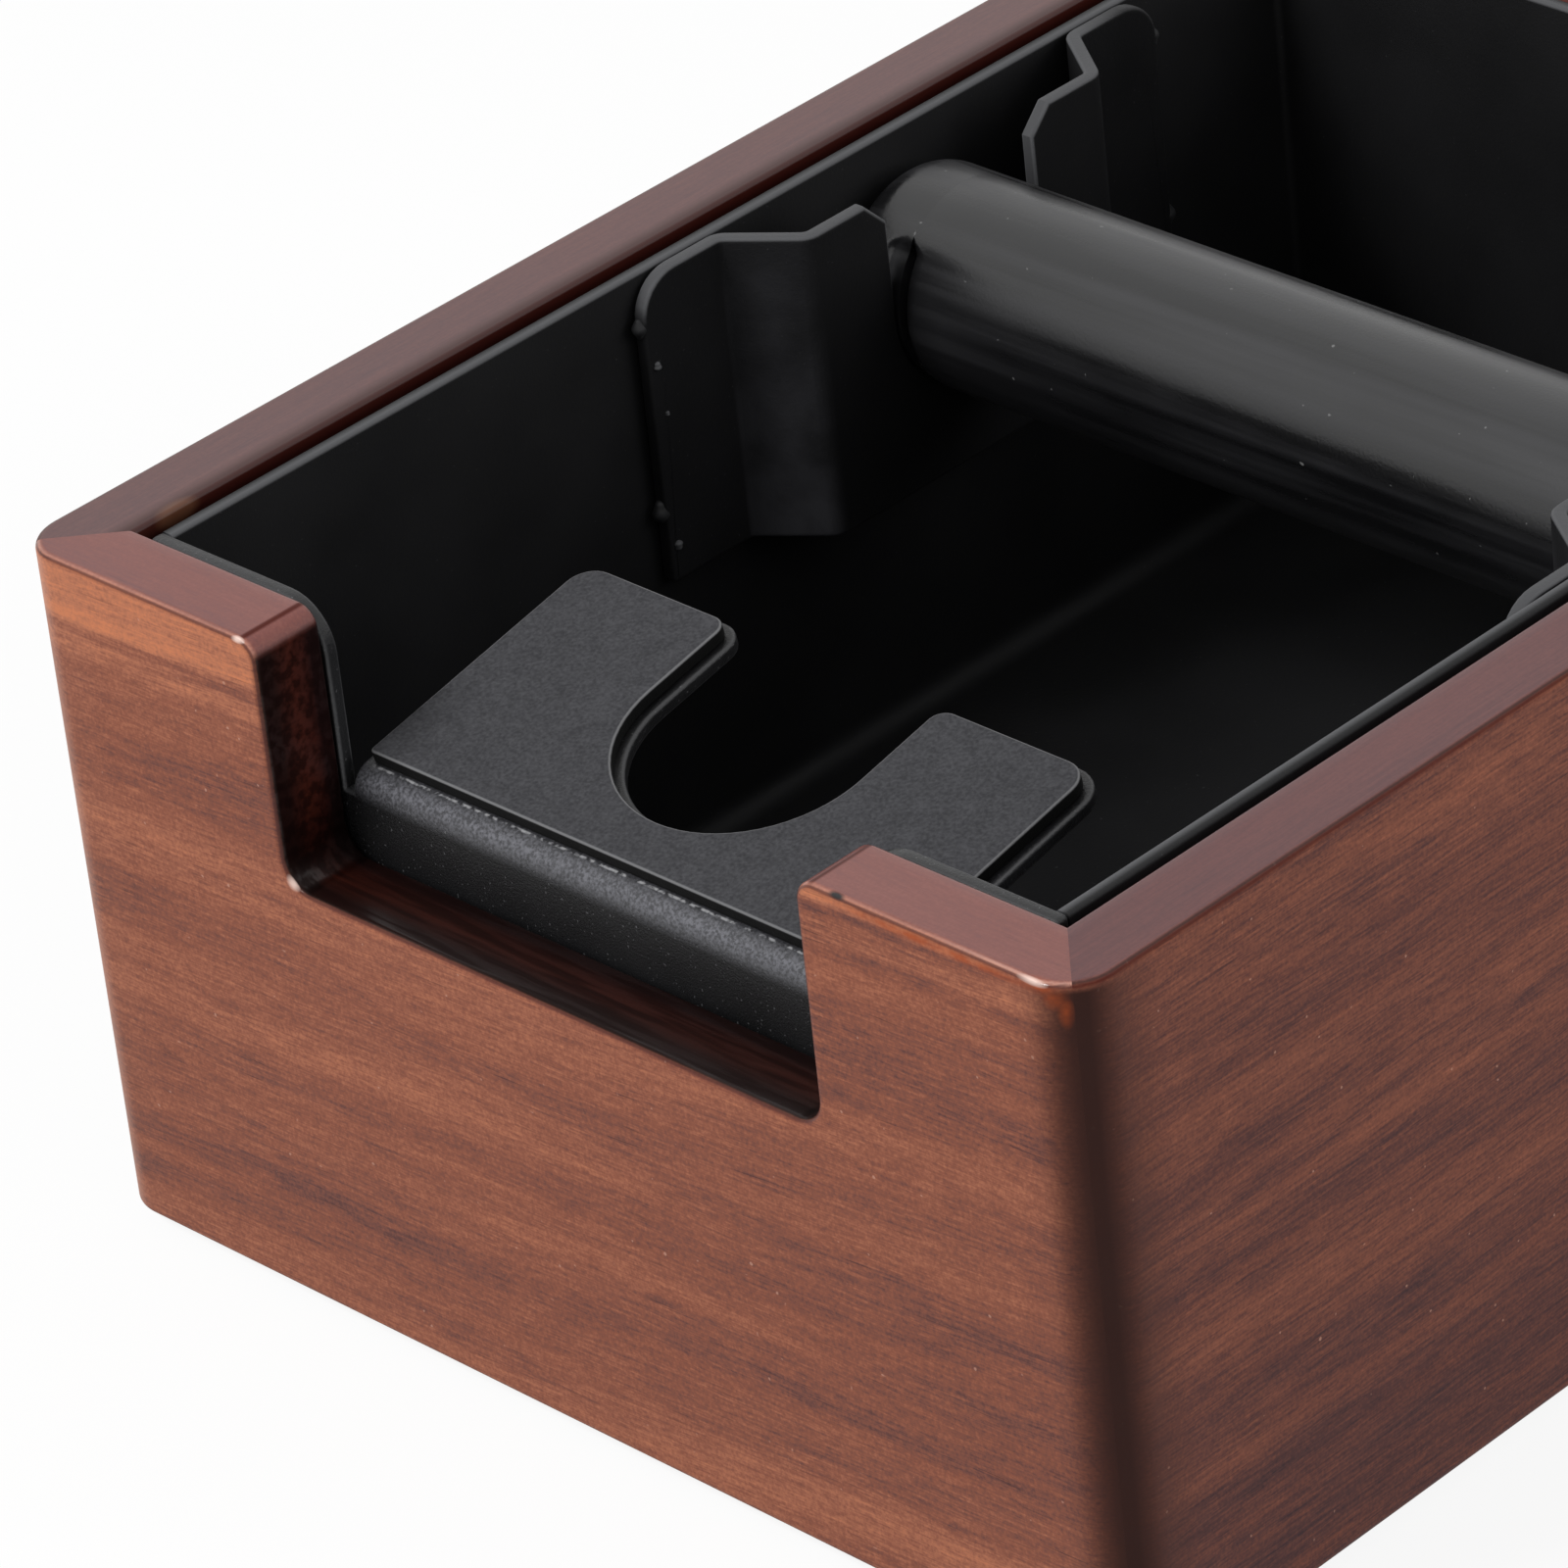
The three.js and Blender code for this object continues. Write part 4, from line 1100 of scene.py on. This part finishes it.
def grey_rubber():
    """Mottled grey, with a painted highlight along the cut's upper edge and painted shade down its
    side.
    """
    material, tree, shader = recipe("grey_rubber")
    place = object_place(tree)
    mottle = noise(tree, place, scale=420, detail=4, roughness=0.65)
    speck = noise(tree, place, scale=2300, detail=2)
    tone = plus(tree, times(tree, mottle, 0.4), times(tree, speck, 0.6))
    colour = ramp(tree, tone, [(0.36, (0.03, 0.03, 0.033)), (0.64, (0.06, 0.06, 0.065))])
    colour = laid_over(tree, colour, attribute(tree, "edge"), PAINTED_MAT_EDGE_HIGHLIGHT, 0.7)
    colour = laid_over(tree, colour, attribute(tree, "side"), PAINTED_MAT_SIDE_SHADE)
    gloss = spread(tree, mottle, 0.3, 0.7, 0.62, 0.78)
    dress(tree, shader, colour, gloss, bump(tree, speck, 0.00005), {"Specular IOR Level": 0.12})
    return material


def lay_on_rest(points):
    """A flat point (across, up the slope, above the rest) in its place."""
    across, length, height = points.T
    y = rest_y + length * math.cos(REST_SLOPE) - height * math.sin(REST_SLOPE)
    z = rest_z + length * math.sin(REST_SLOPE) + height * math.cos(REST_SLOPE)
    return np.stack([across, y, z], -1)


def mat_outline():
    """The rest's outline a little smaller, with square front corners."""
    return mirrored(np.concatenate([
        arc((MAT_HALF - CUT_CORNER, CUT_CORNER), CUT_CORNER, -90, 0, 4),
        rest_side(MAT_HALF, MAT_LENGTH, MAT_CORNER, MAT_SLOT, MAT_MOUTH),
        [(0, REST_SLOT_CENTRE - MAT_SLOT)],
    ]))


mat_thickness = MAT_TOP - MAT_BOTTOM
mat_points, mat_faces = cut_blank(mat_outline(), mat_thickness, MAT_EDGE)
mat = make_piece("mat", lay_on_rest(mat_points + (0, 0, MAT_BOTTOM)), mat_faces)
below_face = mat_thickness - mat_points[:, 2]
# Painted highlight along the cut's upper edge, painted shade down its side
mark(mat, "edge", (below_face < MAT_EDGE * 0.7) & (below_face > 0.01 * MM))
mark(mat, "side", below_face > MAT_EDGE * 0.9)
put_on(mat, "rest_mat", "liner", grey_rubber())

# %% [markdown]
# A bracket is a strip folded into a hat, seen from above. Its fold line is a path whose heading
# changes steadily through four small bends; the path is the running sum of those headings. The face
# of the strip carries the open slot with its flared mouth, cut before folding.

# %% Brackets
BRACKET_HALF = 42.9 * MM
RAMP_HALF = 29.2 * MM
FLAT_HALF = 23.3 * MM
STANDOFF = 8.6 * MM
BRACKET_SEAM = 0.3 * MM
BRACKET_HEIGHT = 38.8 * MM
BRACKET_CORNER = 5.5 * MM
SLOT_RADIUS = 12.1 * MM
MOUTH_WIDTH = 3.2 * MM
MOUTH_DEPTH = 3.2 * MM
FOLD_RADIUS = 1.8 * MM
BEAD_DEPTH = 0.9 * MM
PATH_STEPS = 4001
# Each bead in mm: in from the strip's edge, down from the rim, radius and length
EDGE_BEADS = [(0, 6.0, 0.8, 2.6), (0, 29.6, 1.0, 3.0)]
SPATTER = [(1.2, 11.0, 0.5, 1.1), (1.9, 17.4, 0.3, 0.6), (1.2, 34.2, 0.55, 1.2)]

ramp_angle = math.atan2(STANDOFF, RAMP_HALF - FLAT_HALF)
corner_shift = SHEET / 2 * math.tan(ramp_angle / 2)
fold_tangent = FOLD_RADIUS * math.tan(ramp_angle / 2)
fold_length = FOLD_RADIUS * ramp_angle
flat_run = FLAT_HALF + corner_shift - fold_tangent
ramp_run = math.hypot(STANDOFF, RAMP_HALF - FLAT_HALF) - 2 * fold_tangent
wing_run = BRACKET_HALF - RAMP_HALF - corner_shift - fold_tangent
run_ends = np.cumsum([0, flat_run, fold_length, ramp_run, fold_length, wing_run])
bracket_bottom = RIM - BRACKET_HEIGHT


def bracket_path(length):
    """Place along the wall, place off the wall and heading of the strip's middle, at signed lengths."""
    table = np.linspace(0, run_ends[-1], PATH_STEPS)
    heading = np.interp(table, run_ends, [0, 0, ramp_angle, ramp_angle, 0, 0])
    mean_heading = (heading[1:] + heading[:-1]) / 2
    along = np.concatenate([[0], np.cumsum(np.cos(mean_heading)) * table[1]])
    drop = np.concatenate([[0], np.cumsum(np.sin(mean_heading)) * table[1]])
    size = np.abs(length)
    side = np.sign(length)
    off_wall = BRACKET_SEAM + STANDOFF + SHEET / 2 - np.interp(size, table, drop)
    return side * np.interp(size, table, along), off_wall, side * np.interp(size, table, heading)


def bracket_blank():
    """The strip laid flat, with the open slot and its flared mouth in the middle."""
    half = run_ends[-1]
    mouth = SLOT_RADIUS + MOUTH_WIDTH
    return mirrored(np.concatenate([
        arc((half - CUT_CORNER, bracket_bottom + CUT_CORNER), CUT_CORNER, -90, 0, 3),
        arc((half - BRACKET_CORNER, RIM - BRACKET_CORNER), BRACKET_CORNER, 0, 90),
        [(mouth, RIM), (SLOT_RADIUS, RIM - MOUTH_DEPTH)],
        arc((0, BAR_Z), SLOT_RADIUS, 0, -90, 14)[:-1],
        [(0, BAR_Z - SLOT_RADIUS)],
    ]))


def fold_bracket(points):
    """Each flat point moves along the path, and off it by its depth across the heading."""
    along, off_wall, heading = bracket_path(points[:, 0])
    depth = points[:, 2] - SHEET / 2
    off_wall = off_wall + depth * np.cos(heading)
    return np.stack([off_wall, along + depth * np.sin(heading), points[:, 1]], -1)


def bead(base, y, z, radius, length, seed):
    """A weld bead or a drop of spatter: an egg on the sheet, with two low humps where the torch
    dwelt. It rises from the base by its radius, and half of it is sunk."""
    rows, columns = 15, 16
    polar = np.linspace(0, math.pi, rows)[1:-1, None]
    round_angle = np.linspace(0, 2 * math.pi, columns, endpoint=False)[None]
    hump = 1 + 0.16 * np.cos(4 * polar + seed) * np.sin(polar)
    x = base + min(radius, BEAD_DEPTH) * hump * np.sin(polar) * np.cos(round_angle)
    side = y + radius * hump * np.sin(polar) * np.sin(round_angle)
    height = z - length / 2 * np.cos(polar) + 0 * round_angle
    body = np.stack([x, side, height], -1).reshape(-1, 3)
    poles = np.array([[base, y, z - length / 2], [base, y, z + length / 2]])
    faces = grid_faces(rows - 2, columns, close_columns=True) + pole_faces(len(body), columns)
    return np.concatenate([body, poles]), faces


def make_bracket(name, side):
    """The folded strip and its beads, set against the left or the right wall. A bead at the strip's
    edge lies against the wall; spatter farther in sits on the strip's face."""
    scores = np.concatenate([
        np.linspace(run_ends[1], run_ends[2], 5),
        np.linspace(run_ends[2], run_ends[3], 6)[1:-1],
        np.linspace(run_ends[3], run_ends[4], 5),
    ])
    scores = np.concatenate([-scores, scores])
    flat, faces = cut_blank(bracket_blank(), SHEET, SHEET_EDGE, scores, (1, 0, 0))
    points = fold_bracket(flat)
    rearward = flat[:, 0] * side
    # Painted highlight along the strip's edges, fading out below the rim and along the rear wing
    marks = painted_edge_highlights(flat, 0.8)
    marks *= np.interp(flat[:, 1], [RIM - 5.2 * MM, RIM - 3.4 * MM], [0.03, 1])
    marks *= np.interp(rearward, [run_ends[4], run_ends[4] + 1.5 * MM], [1, 0.2])
    # Painted light: the ramps are painted lighter, most towards the bottom
    ramp_middle = (run_ends[2] + run_ends[3]) / 2
    ramp_places = [run_ends[1], run_ends[2], ramp_middle, run_ends[3], run_ends[4]]
    on_ramp = np.interp(-rearward, ramp_places, [0, 0.75, 1, 0.75, 0.05])
    painted_light = on_ramp * np.interp(flat[:, 1], [bracket_bottom, RIM - 4 * MM, RIM], [1.0, 0.6, 0.1])
    front_beads = EDGE_BEADS + SPATTER
    for number, bead_sizes in enumerate(front_beads + EDGE_BEADS):
        inset, drop, radius, length = (MM * size for size in bead_sizes)
        end = -1 if number < len(front_beads) else 1
        base = BRACKET_SEAM + (SHEET if inset else SHEET / 2)
        y = end * (BRACKET_HALF - inset)
        bead_points, bead_faces = bead(base, y, RIM - drop, radius, length, number)
        faces += [[corner + len(points) for corner in face] for face in bead_faces]
        points = np.concatenate([points, bead_points])
        # Painted glints: spatter drops carry the full painted highlight, edge beads a faint one
        marks = np.concatenate([marks, np.full(len(bead_points), 1.0 if inset else 0.18)])
    points = points * (side, side, 1) + (-side * inner_half, BAR_Y, 0)
    piece = make_piece(name, points, faces)
    mark(piece, "edge", marks)
    mark(piece, "painted_light", np.concatenate([painted_light, np.zeros(len(points) - len(painted_light))]))
    return piece


for name, side in (("left", 1), ("right", -1)):
    bracket = make_bracket("bracket_" + name, side)
    put_on(bracket, name + "_bar_holder", "liner", bracket_coat)

# %% [markdown]
# The knock bar is a thick rubber tube on a steel rod, with two rubber ends. All three are turned like
# lathe pieces, and two things differ around the bar: at its sides and below, sleeve and end are well
# rounded where the bracket's plate stands in the neck between them, but along its top, in the slot's
# open mouth, the rubber runs on. So each piece has two profiles of the same number of points, one for
# the round and one for the crown, and every angle gets its own mixture.
#
# Extruded rubber keeps faint streaks along its length and light dust clings to it. It is nearly black:
# its grey is the reflection of bright surroundings in a satin skin, which ends where the skin starts
# to mirror the dark liner below.

# %% Turned pieces and rubber
CROWN_START = 0.62
CROWN_BLEND = 0.13
RUBBER_DUST = (0.3, 0.3, 0.3)


def crown_share(angle):
    """0 round the bar and 1 along its top: a smooth step in the height's share of the radius."""
    step = np.clip((np.sin(angle) - CROWN_START) / CROWN_BLEND, 0, 1)
    return step**2 * (3 - 2 * step)


def turned_piece(name, profile, crown, place, segments=144):
    """Radius against distance along X, carried round X. A profile that starts and ends on the axis
    gets two poles; any other closes on itself."""
    angle = np.linspace(0, 2 * math.pi, segments, endpoint=False)
    share = crown_share(angle)[None, :, None]
    profile = np.asarray(profile, dtype=float)
    rings = profile[:, None] * (1 - share) + np.asarray(crown, dtype=float)[:, None] * share
    solid = profile[0, 0] == 0
    if solid:
        rings = rings[1:-1]
    body = np.stack([rings[..., 1], rings[..., 0] * np.cos(angle), rings[..., 0] * np.sin(angle)], -1)
    body = body.reshape(-1, 3)
    faces = grid_faces(len(rings), segments, close_rows=not solid, close_columns=True)
    if solid:
        faces += pole_faces(len(body), segments)
        body = np.concatenate([body, [[profile[0, 1], 0, 0], [profile[-1, 1], 0, 0]]])
    return make_piece(name, body + np.asarray(place), faces)


def moulded_rubber(name, dark, light, roughness, shine=0.45):
    """Faint streaks along the bar and soft clouds, in tone and gloss alike, with light dust."""
    material, tree, shader = recipe(name)
    place = object_place(tree)
    streak = noise(tree, stretched(tree, place, (9, 420, 420)), detail=3, roughness=0.6)
    cloud = noise(tree, stretched(tree, place, (30, 90, 90)), detail=4)
    grain = noise(tree, place, scale=2400, detail=2)
    mixed = plus(tree, times(tree, streak, 0.55), times(tree, cloud, 0.45))
    share = spread(tree, mixed, 0.38, 0.62)
    colour = blend(tree, share, (dark, dark, dark * 1.1), (light, light, light * 1.1))
    dust = spread(tree, noise(tree, place, scale=1500, detail=0), 0.86, 0.9)
    colour = laid_over(tree, colour, dust, RUBBER_DUST, 0.4)
    gloss = spread(tree, mixed, 0.38, 0.62, roughness - 0.1, roughness + 0.1)
    dress(tree, shader, colour, gloss, bump(tree, grain, 0.00002, 0.8), {"Specular IOR Level": shine})
    return material


def round_end(x, radius, rounding_radius, side, steps=8):
    """Profile points of a round outer corner at an end: radius against place along the axis."""
    turn = np.linspace(0, QUARTER, steps + 1)
    along = x - side * rounding_radius * (1 - np.cos(turn))
    out = radius - rounding_radius * (1 - np.sin(turn))
    return np.stack([out, along], -1)


# %% Knock bar
SLEEVE_ROUND = 2.8 * MM
SHOULDER_ROUND = 1.2 * MM
CROWN_ROUND = 0.02 * MM
CROWN_REACH = 0.155 * MM
HEAD_ROUND = 5 * MM
HEAD_LENGTH = 8.1 * MM
NECK_RADIUS = 11.8 * MM
CORE_HOLE = 6.3 * MM
CORE_COVER = 3 * MM

bar_place = (0, BAR_Y, BAR_Z)
bar_rubber = moulded_rubber("bar_rubber", 0.004, 0.015, 0.33, 0.66)


def sleeve_profile(half, rounding_radius):
    """A tube round the rod, with both outer corners rounded."""
    left_end = round_end(-half, BAR_RADIUS, rounding_radius, -1)
    right_end = round_end(half, BAR_RADIUS, rounding_radius, 1)[::-1]
    middle = np.stack([np.full(9, BAR_RADIUS), np.linspace(-0.9, 0.9, 9) * half], -1)
    return np.concatenate([[(CORE_HOLE, -half)], left_end, middle, right_end, [(CORE_HOLE, half)]])


def end_profile(outside, inside, side, crowned):
    """Head, shoulder and neck. Along the crown there is no shoulder: the radius stays."""
    head_inside = outside - side * HEAD_LENGTH
    cover = outside - side * CORE_COVER
    if crowned:
        inside = inside - side * CROWN_REACH
        run = np.linspace(head_inside, inside + side * CROWN_ROUND, 7)
        neck = np.stack([np.full(7, BAR_RADIUS), run], -1)
        last = (BAR_RADIUS - CROWN_ROUND, inside)
    else:
        shoulder = round_end(head_inside, BAR_RADIUS, SHOULDER_ROUND, -side, 5)[::-1]
        neck = np.concatenate([shoulder, [(NECK_RADIUS, head_inside)]])
        neck[:, 0] = np.maximum(neck[:, 0], NECK_RADIUS)
        last = (NECK_RADIUS, inside)
    head = round_end(outside, BAR_RADIUS, HEAD_ROUND, side, 12)
    start = [(0, outside), (BAR_RADIUS * 0.3, outside)]
    hole = [(CORE_HOLE, inside), (CORE_HOLE, cover), (0, cover)]
    return np.concatenate([start, head, neck, [last], hole])


plain_sleeve = sleeve_profile(sleeve_high.x, SLEEVE_ROUND)
crowned_sleeve = sleeve_profile(sleeve_high.x + CROWN_REACH, CROWN_ROUND)
sleeve = turned_piece("knock_bar_sleeve", plain_sleeve, crowned_sleeve, bar_place)
put_on(sleeve, "bar_sleeve", "knock_bar", bar_rubber)

for node, side in (("bar_end_left", -1), ("bar_end_right", 1)):
    low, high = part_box(node)
    outside, inside = (low.x, high.x) if side < 0 else (high.x, low.x)
    profiles = [end_profile(outside, inside, side, crowned) for crowned in (False, True)]
    bar_end = turned_piece("knock_" + node, *profiles, bar_place)
    put_on(bar_end, node, "knock_bar", bar_rubber)

# %% [markdown]
# What the picture doesn't show still gets its finish: the plywood base, the rubber feet, the screws
# and the steel rod inside the bar.

# %% Base, feet, screws and core
PLYWOOD_TONES = [(0.3, (0.3, 0.19, 0.11)), (0.7, (0.5, 0.35, 0.22))]
PLYWOOD_SHADE = (0.36, 0.22, 0.13)
STEEL_TONES = [(0.3, (0.45, 0.45, 0.46)), (0.7, (0.62, 0.62, 0.64))]


def plywood():
    """Pale veneer with long fibres and soft darker areas."""
    material, tree, shader = recipe("plywood")
    place = object_place(tree)
    grain = noise(tree, stretched(tree, place, (260, 9, 260)), detail=5, roughness=0.6)
    cloud = noise(tree, place, scale=18, detail=2)
    colour = laid_over(tree, ramp(tree, grain, PLYWOOD_TONES), cloud, PLYWOOD_SHADE, 0.3)
    gloss = spread(tree, grain, 0.3, 0.7, 0.6, 0.75)
    dress(tree, shader, colour, gloss, bump(tree, grain, 0.00005))
    return material


def bare_steel():
    """Drawn steel, scratched along its length."""
    material, tree, shader = recipe("bare_steel")
    place = object_place(tree)
    scratch = noise(tree, stretched(tree, place, (60, 2500, 2500)), detail=3)
    gloss = spread(tree, scratch, 0.3, 0.7, 0.25, 0.4)
    relief = bump(tree, scratch, 0.00001)
    dress(tree, shader, ramp(tree, scratch, STEEL_TONES), gloss, relief, {"Metallic": 1.0})
    return material


def wear(node, slot, material):
    """A node whose own shape is right keeps it and only gets its finish."""
    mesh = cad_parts[node].data
    mesh.materials.clear()
    mesh.materials.append(material)
    print(node, "wears", material.name, "for slot", slot)


wear("base_board", "plywood", plywood())
steel = bare_steel()
wear("bar_core", "bare_steel", steel)
foot_rubber = moulded_rubber("foot_rubber", 0.014, 0.02, 0.6)
for place in ("front_left", "front_right", "rear_left", "rear_right"):
    wear("foot_" + place, "foot_rubber", foot_rubber)
    wear("foot_screw_" + place, "bare_steel", steel)

# %% [markdown]
# The studio is a pale floor and soft light. The background is made white for the camera, and for
# reflections, by the floor and the world themselves, so the lamps stay at a plain level and the floor
# keeps the bin's shadow. The key lamp stands high on the left of the front and leaves the near upright
# corner dark, and painted shade darkens that corner further. A small bare lamp beside it adds small
# glints on the lacquered corners, so that the key itself need not be mirrored along the knock bar; the
# larger glints there are painted highlights. A wide, weak lamp from the right and behind lights the
# side board.

# %% Studio
FLOOR_SIZE = 6.0
FLOOR_GREY = (0.4, 0.4, 0.4)
FLOOR_SEEN = (0.85, 0.85, 0.85)
WHITE = (1, 1, 1, 1)
CAMERA_GLOW = 0.89
WORLD_LIGHT = 0.35
LAMP_TARGET = Vector((0, -0.03, 0.05))
LAMP_DISTANCE = 1.4


def seen_directly(tree):
    """1 for camera, glossy and transmission rays, 0 for the rays that carry light about."""
    paths = add(tree, "ShaderNodeLightPath").outputs
    kinds = ("Is Camera Ray", "Is Glossy Ray", "Is Transmission Ray")
    return larger(tree, *(paths[kind] for kind in kinds))


def studio_floor():
    """A pale floor that the camera sees nearly white, but for the bin's shadow."""
    mesh = bpy.data.meshes.new("floor")
    half = FLOOR_SIZE / 2
    corners = [(-half, -half, 0), (half, -half, 0), (half, half, 0), (-half, half, 0)]
    mesh.from_pydata(corners, [], [(0, 1, 2, 3)])
    floor = bpy.data.objects.new("floor", mesh)
    bpy.context.scene.collection.objects.link(floor)
    material = bpy.data.materials.new("floor")
    material.use_nodes = True
    tree = material.node_tree
    tree.nodes.clear()
    shown = seen_directly(tree)
    paint = add(tree, "ShaderNodeBsdfDiffuse", {"Color": blend(tree, shown, FLOOR_GREY, FLOOR_SEEN)})
    glow = add(tree, "ShaderNodeEmission", {"Color": WHITE, "Strength": 1.0})
    layers = {0: times(tree, shown, CAMERA_GLOW), 1: paint.outputs[0], 2: glow.outputs[0]}
    mixed = add(tree, "ShaderNodeMixShader", layers)
    add(tree, "ShaderNodeOutputMaterial", {"Surface": mixed.outputs[0]})
    mesh.materials.append(material)


def studio_world():
    """White where it is seen, and a plain weak light on everything."""
    world = bpy.data.worlds.new("studio")
    world.use_nodes = True
    tree = world.node_tree
    tree.nodes.clear()
    strength = spread(tree, seen_directly(tree), 0, 1, WORLD_LIGHT, 1.0)
    background = add(tree, "ShaderNodeBackground", {"Color": WHITE, "Strength": strength})
    add(tree, "ShaderNodeOutputWorld", {"Surface": background.outputs[0]})
    bpy.context.scene.world = world


def soft_box(name, direction, size, power, glossy=True):
    """A square area lamp in a direction from the bin's middle, turned to face it."""
    away = Vector(direction).normalized()
    lamp = bpy.data.lights.new(name, "AREA")
    lamp.size = size
    lamp.energy = power
    lamp_object = bpy.data.objects.new(name, lamp)
    lamp_object.rotation_euler = (-away).to_track_quat("-Z", "Y").to_euler()
    lamp_object.location = LAMP_TARGET + LAMP_DISTANCE * away
    lamp_object.visible_glossy = glossy
    bpy.context.scene.collection.objects.link(lamp_object)
    print(name, "lamp:", power, "W,", size, "m across")


studio_floor()
studio_world()
soft_box("key", (-0.3, -0.62, 0.74), 0.42, 14, glossy=False)
soft_box("glint", (-0.15, -0.62, 0.76), 0.2, 3.5)
soft_box("side_fill", (0.8, 0.5, 0.4), 0.8, 9.5, glossy=False)
bpy.context.scene.view_settings.view_transform = "Standard"
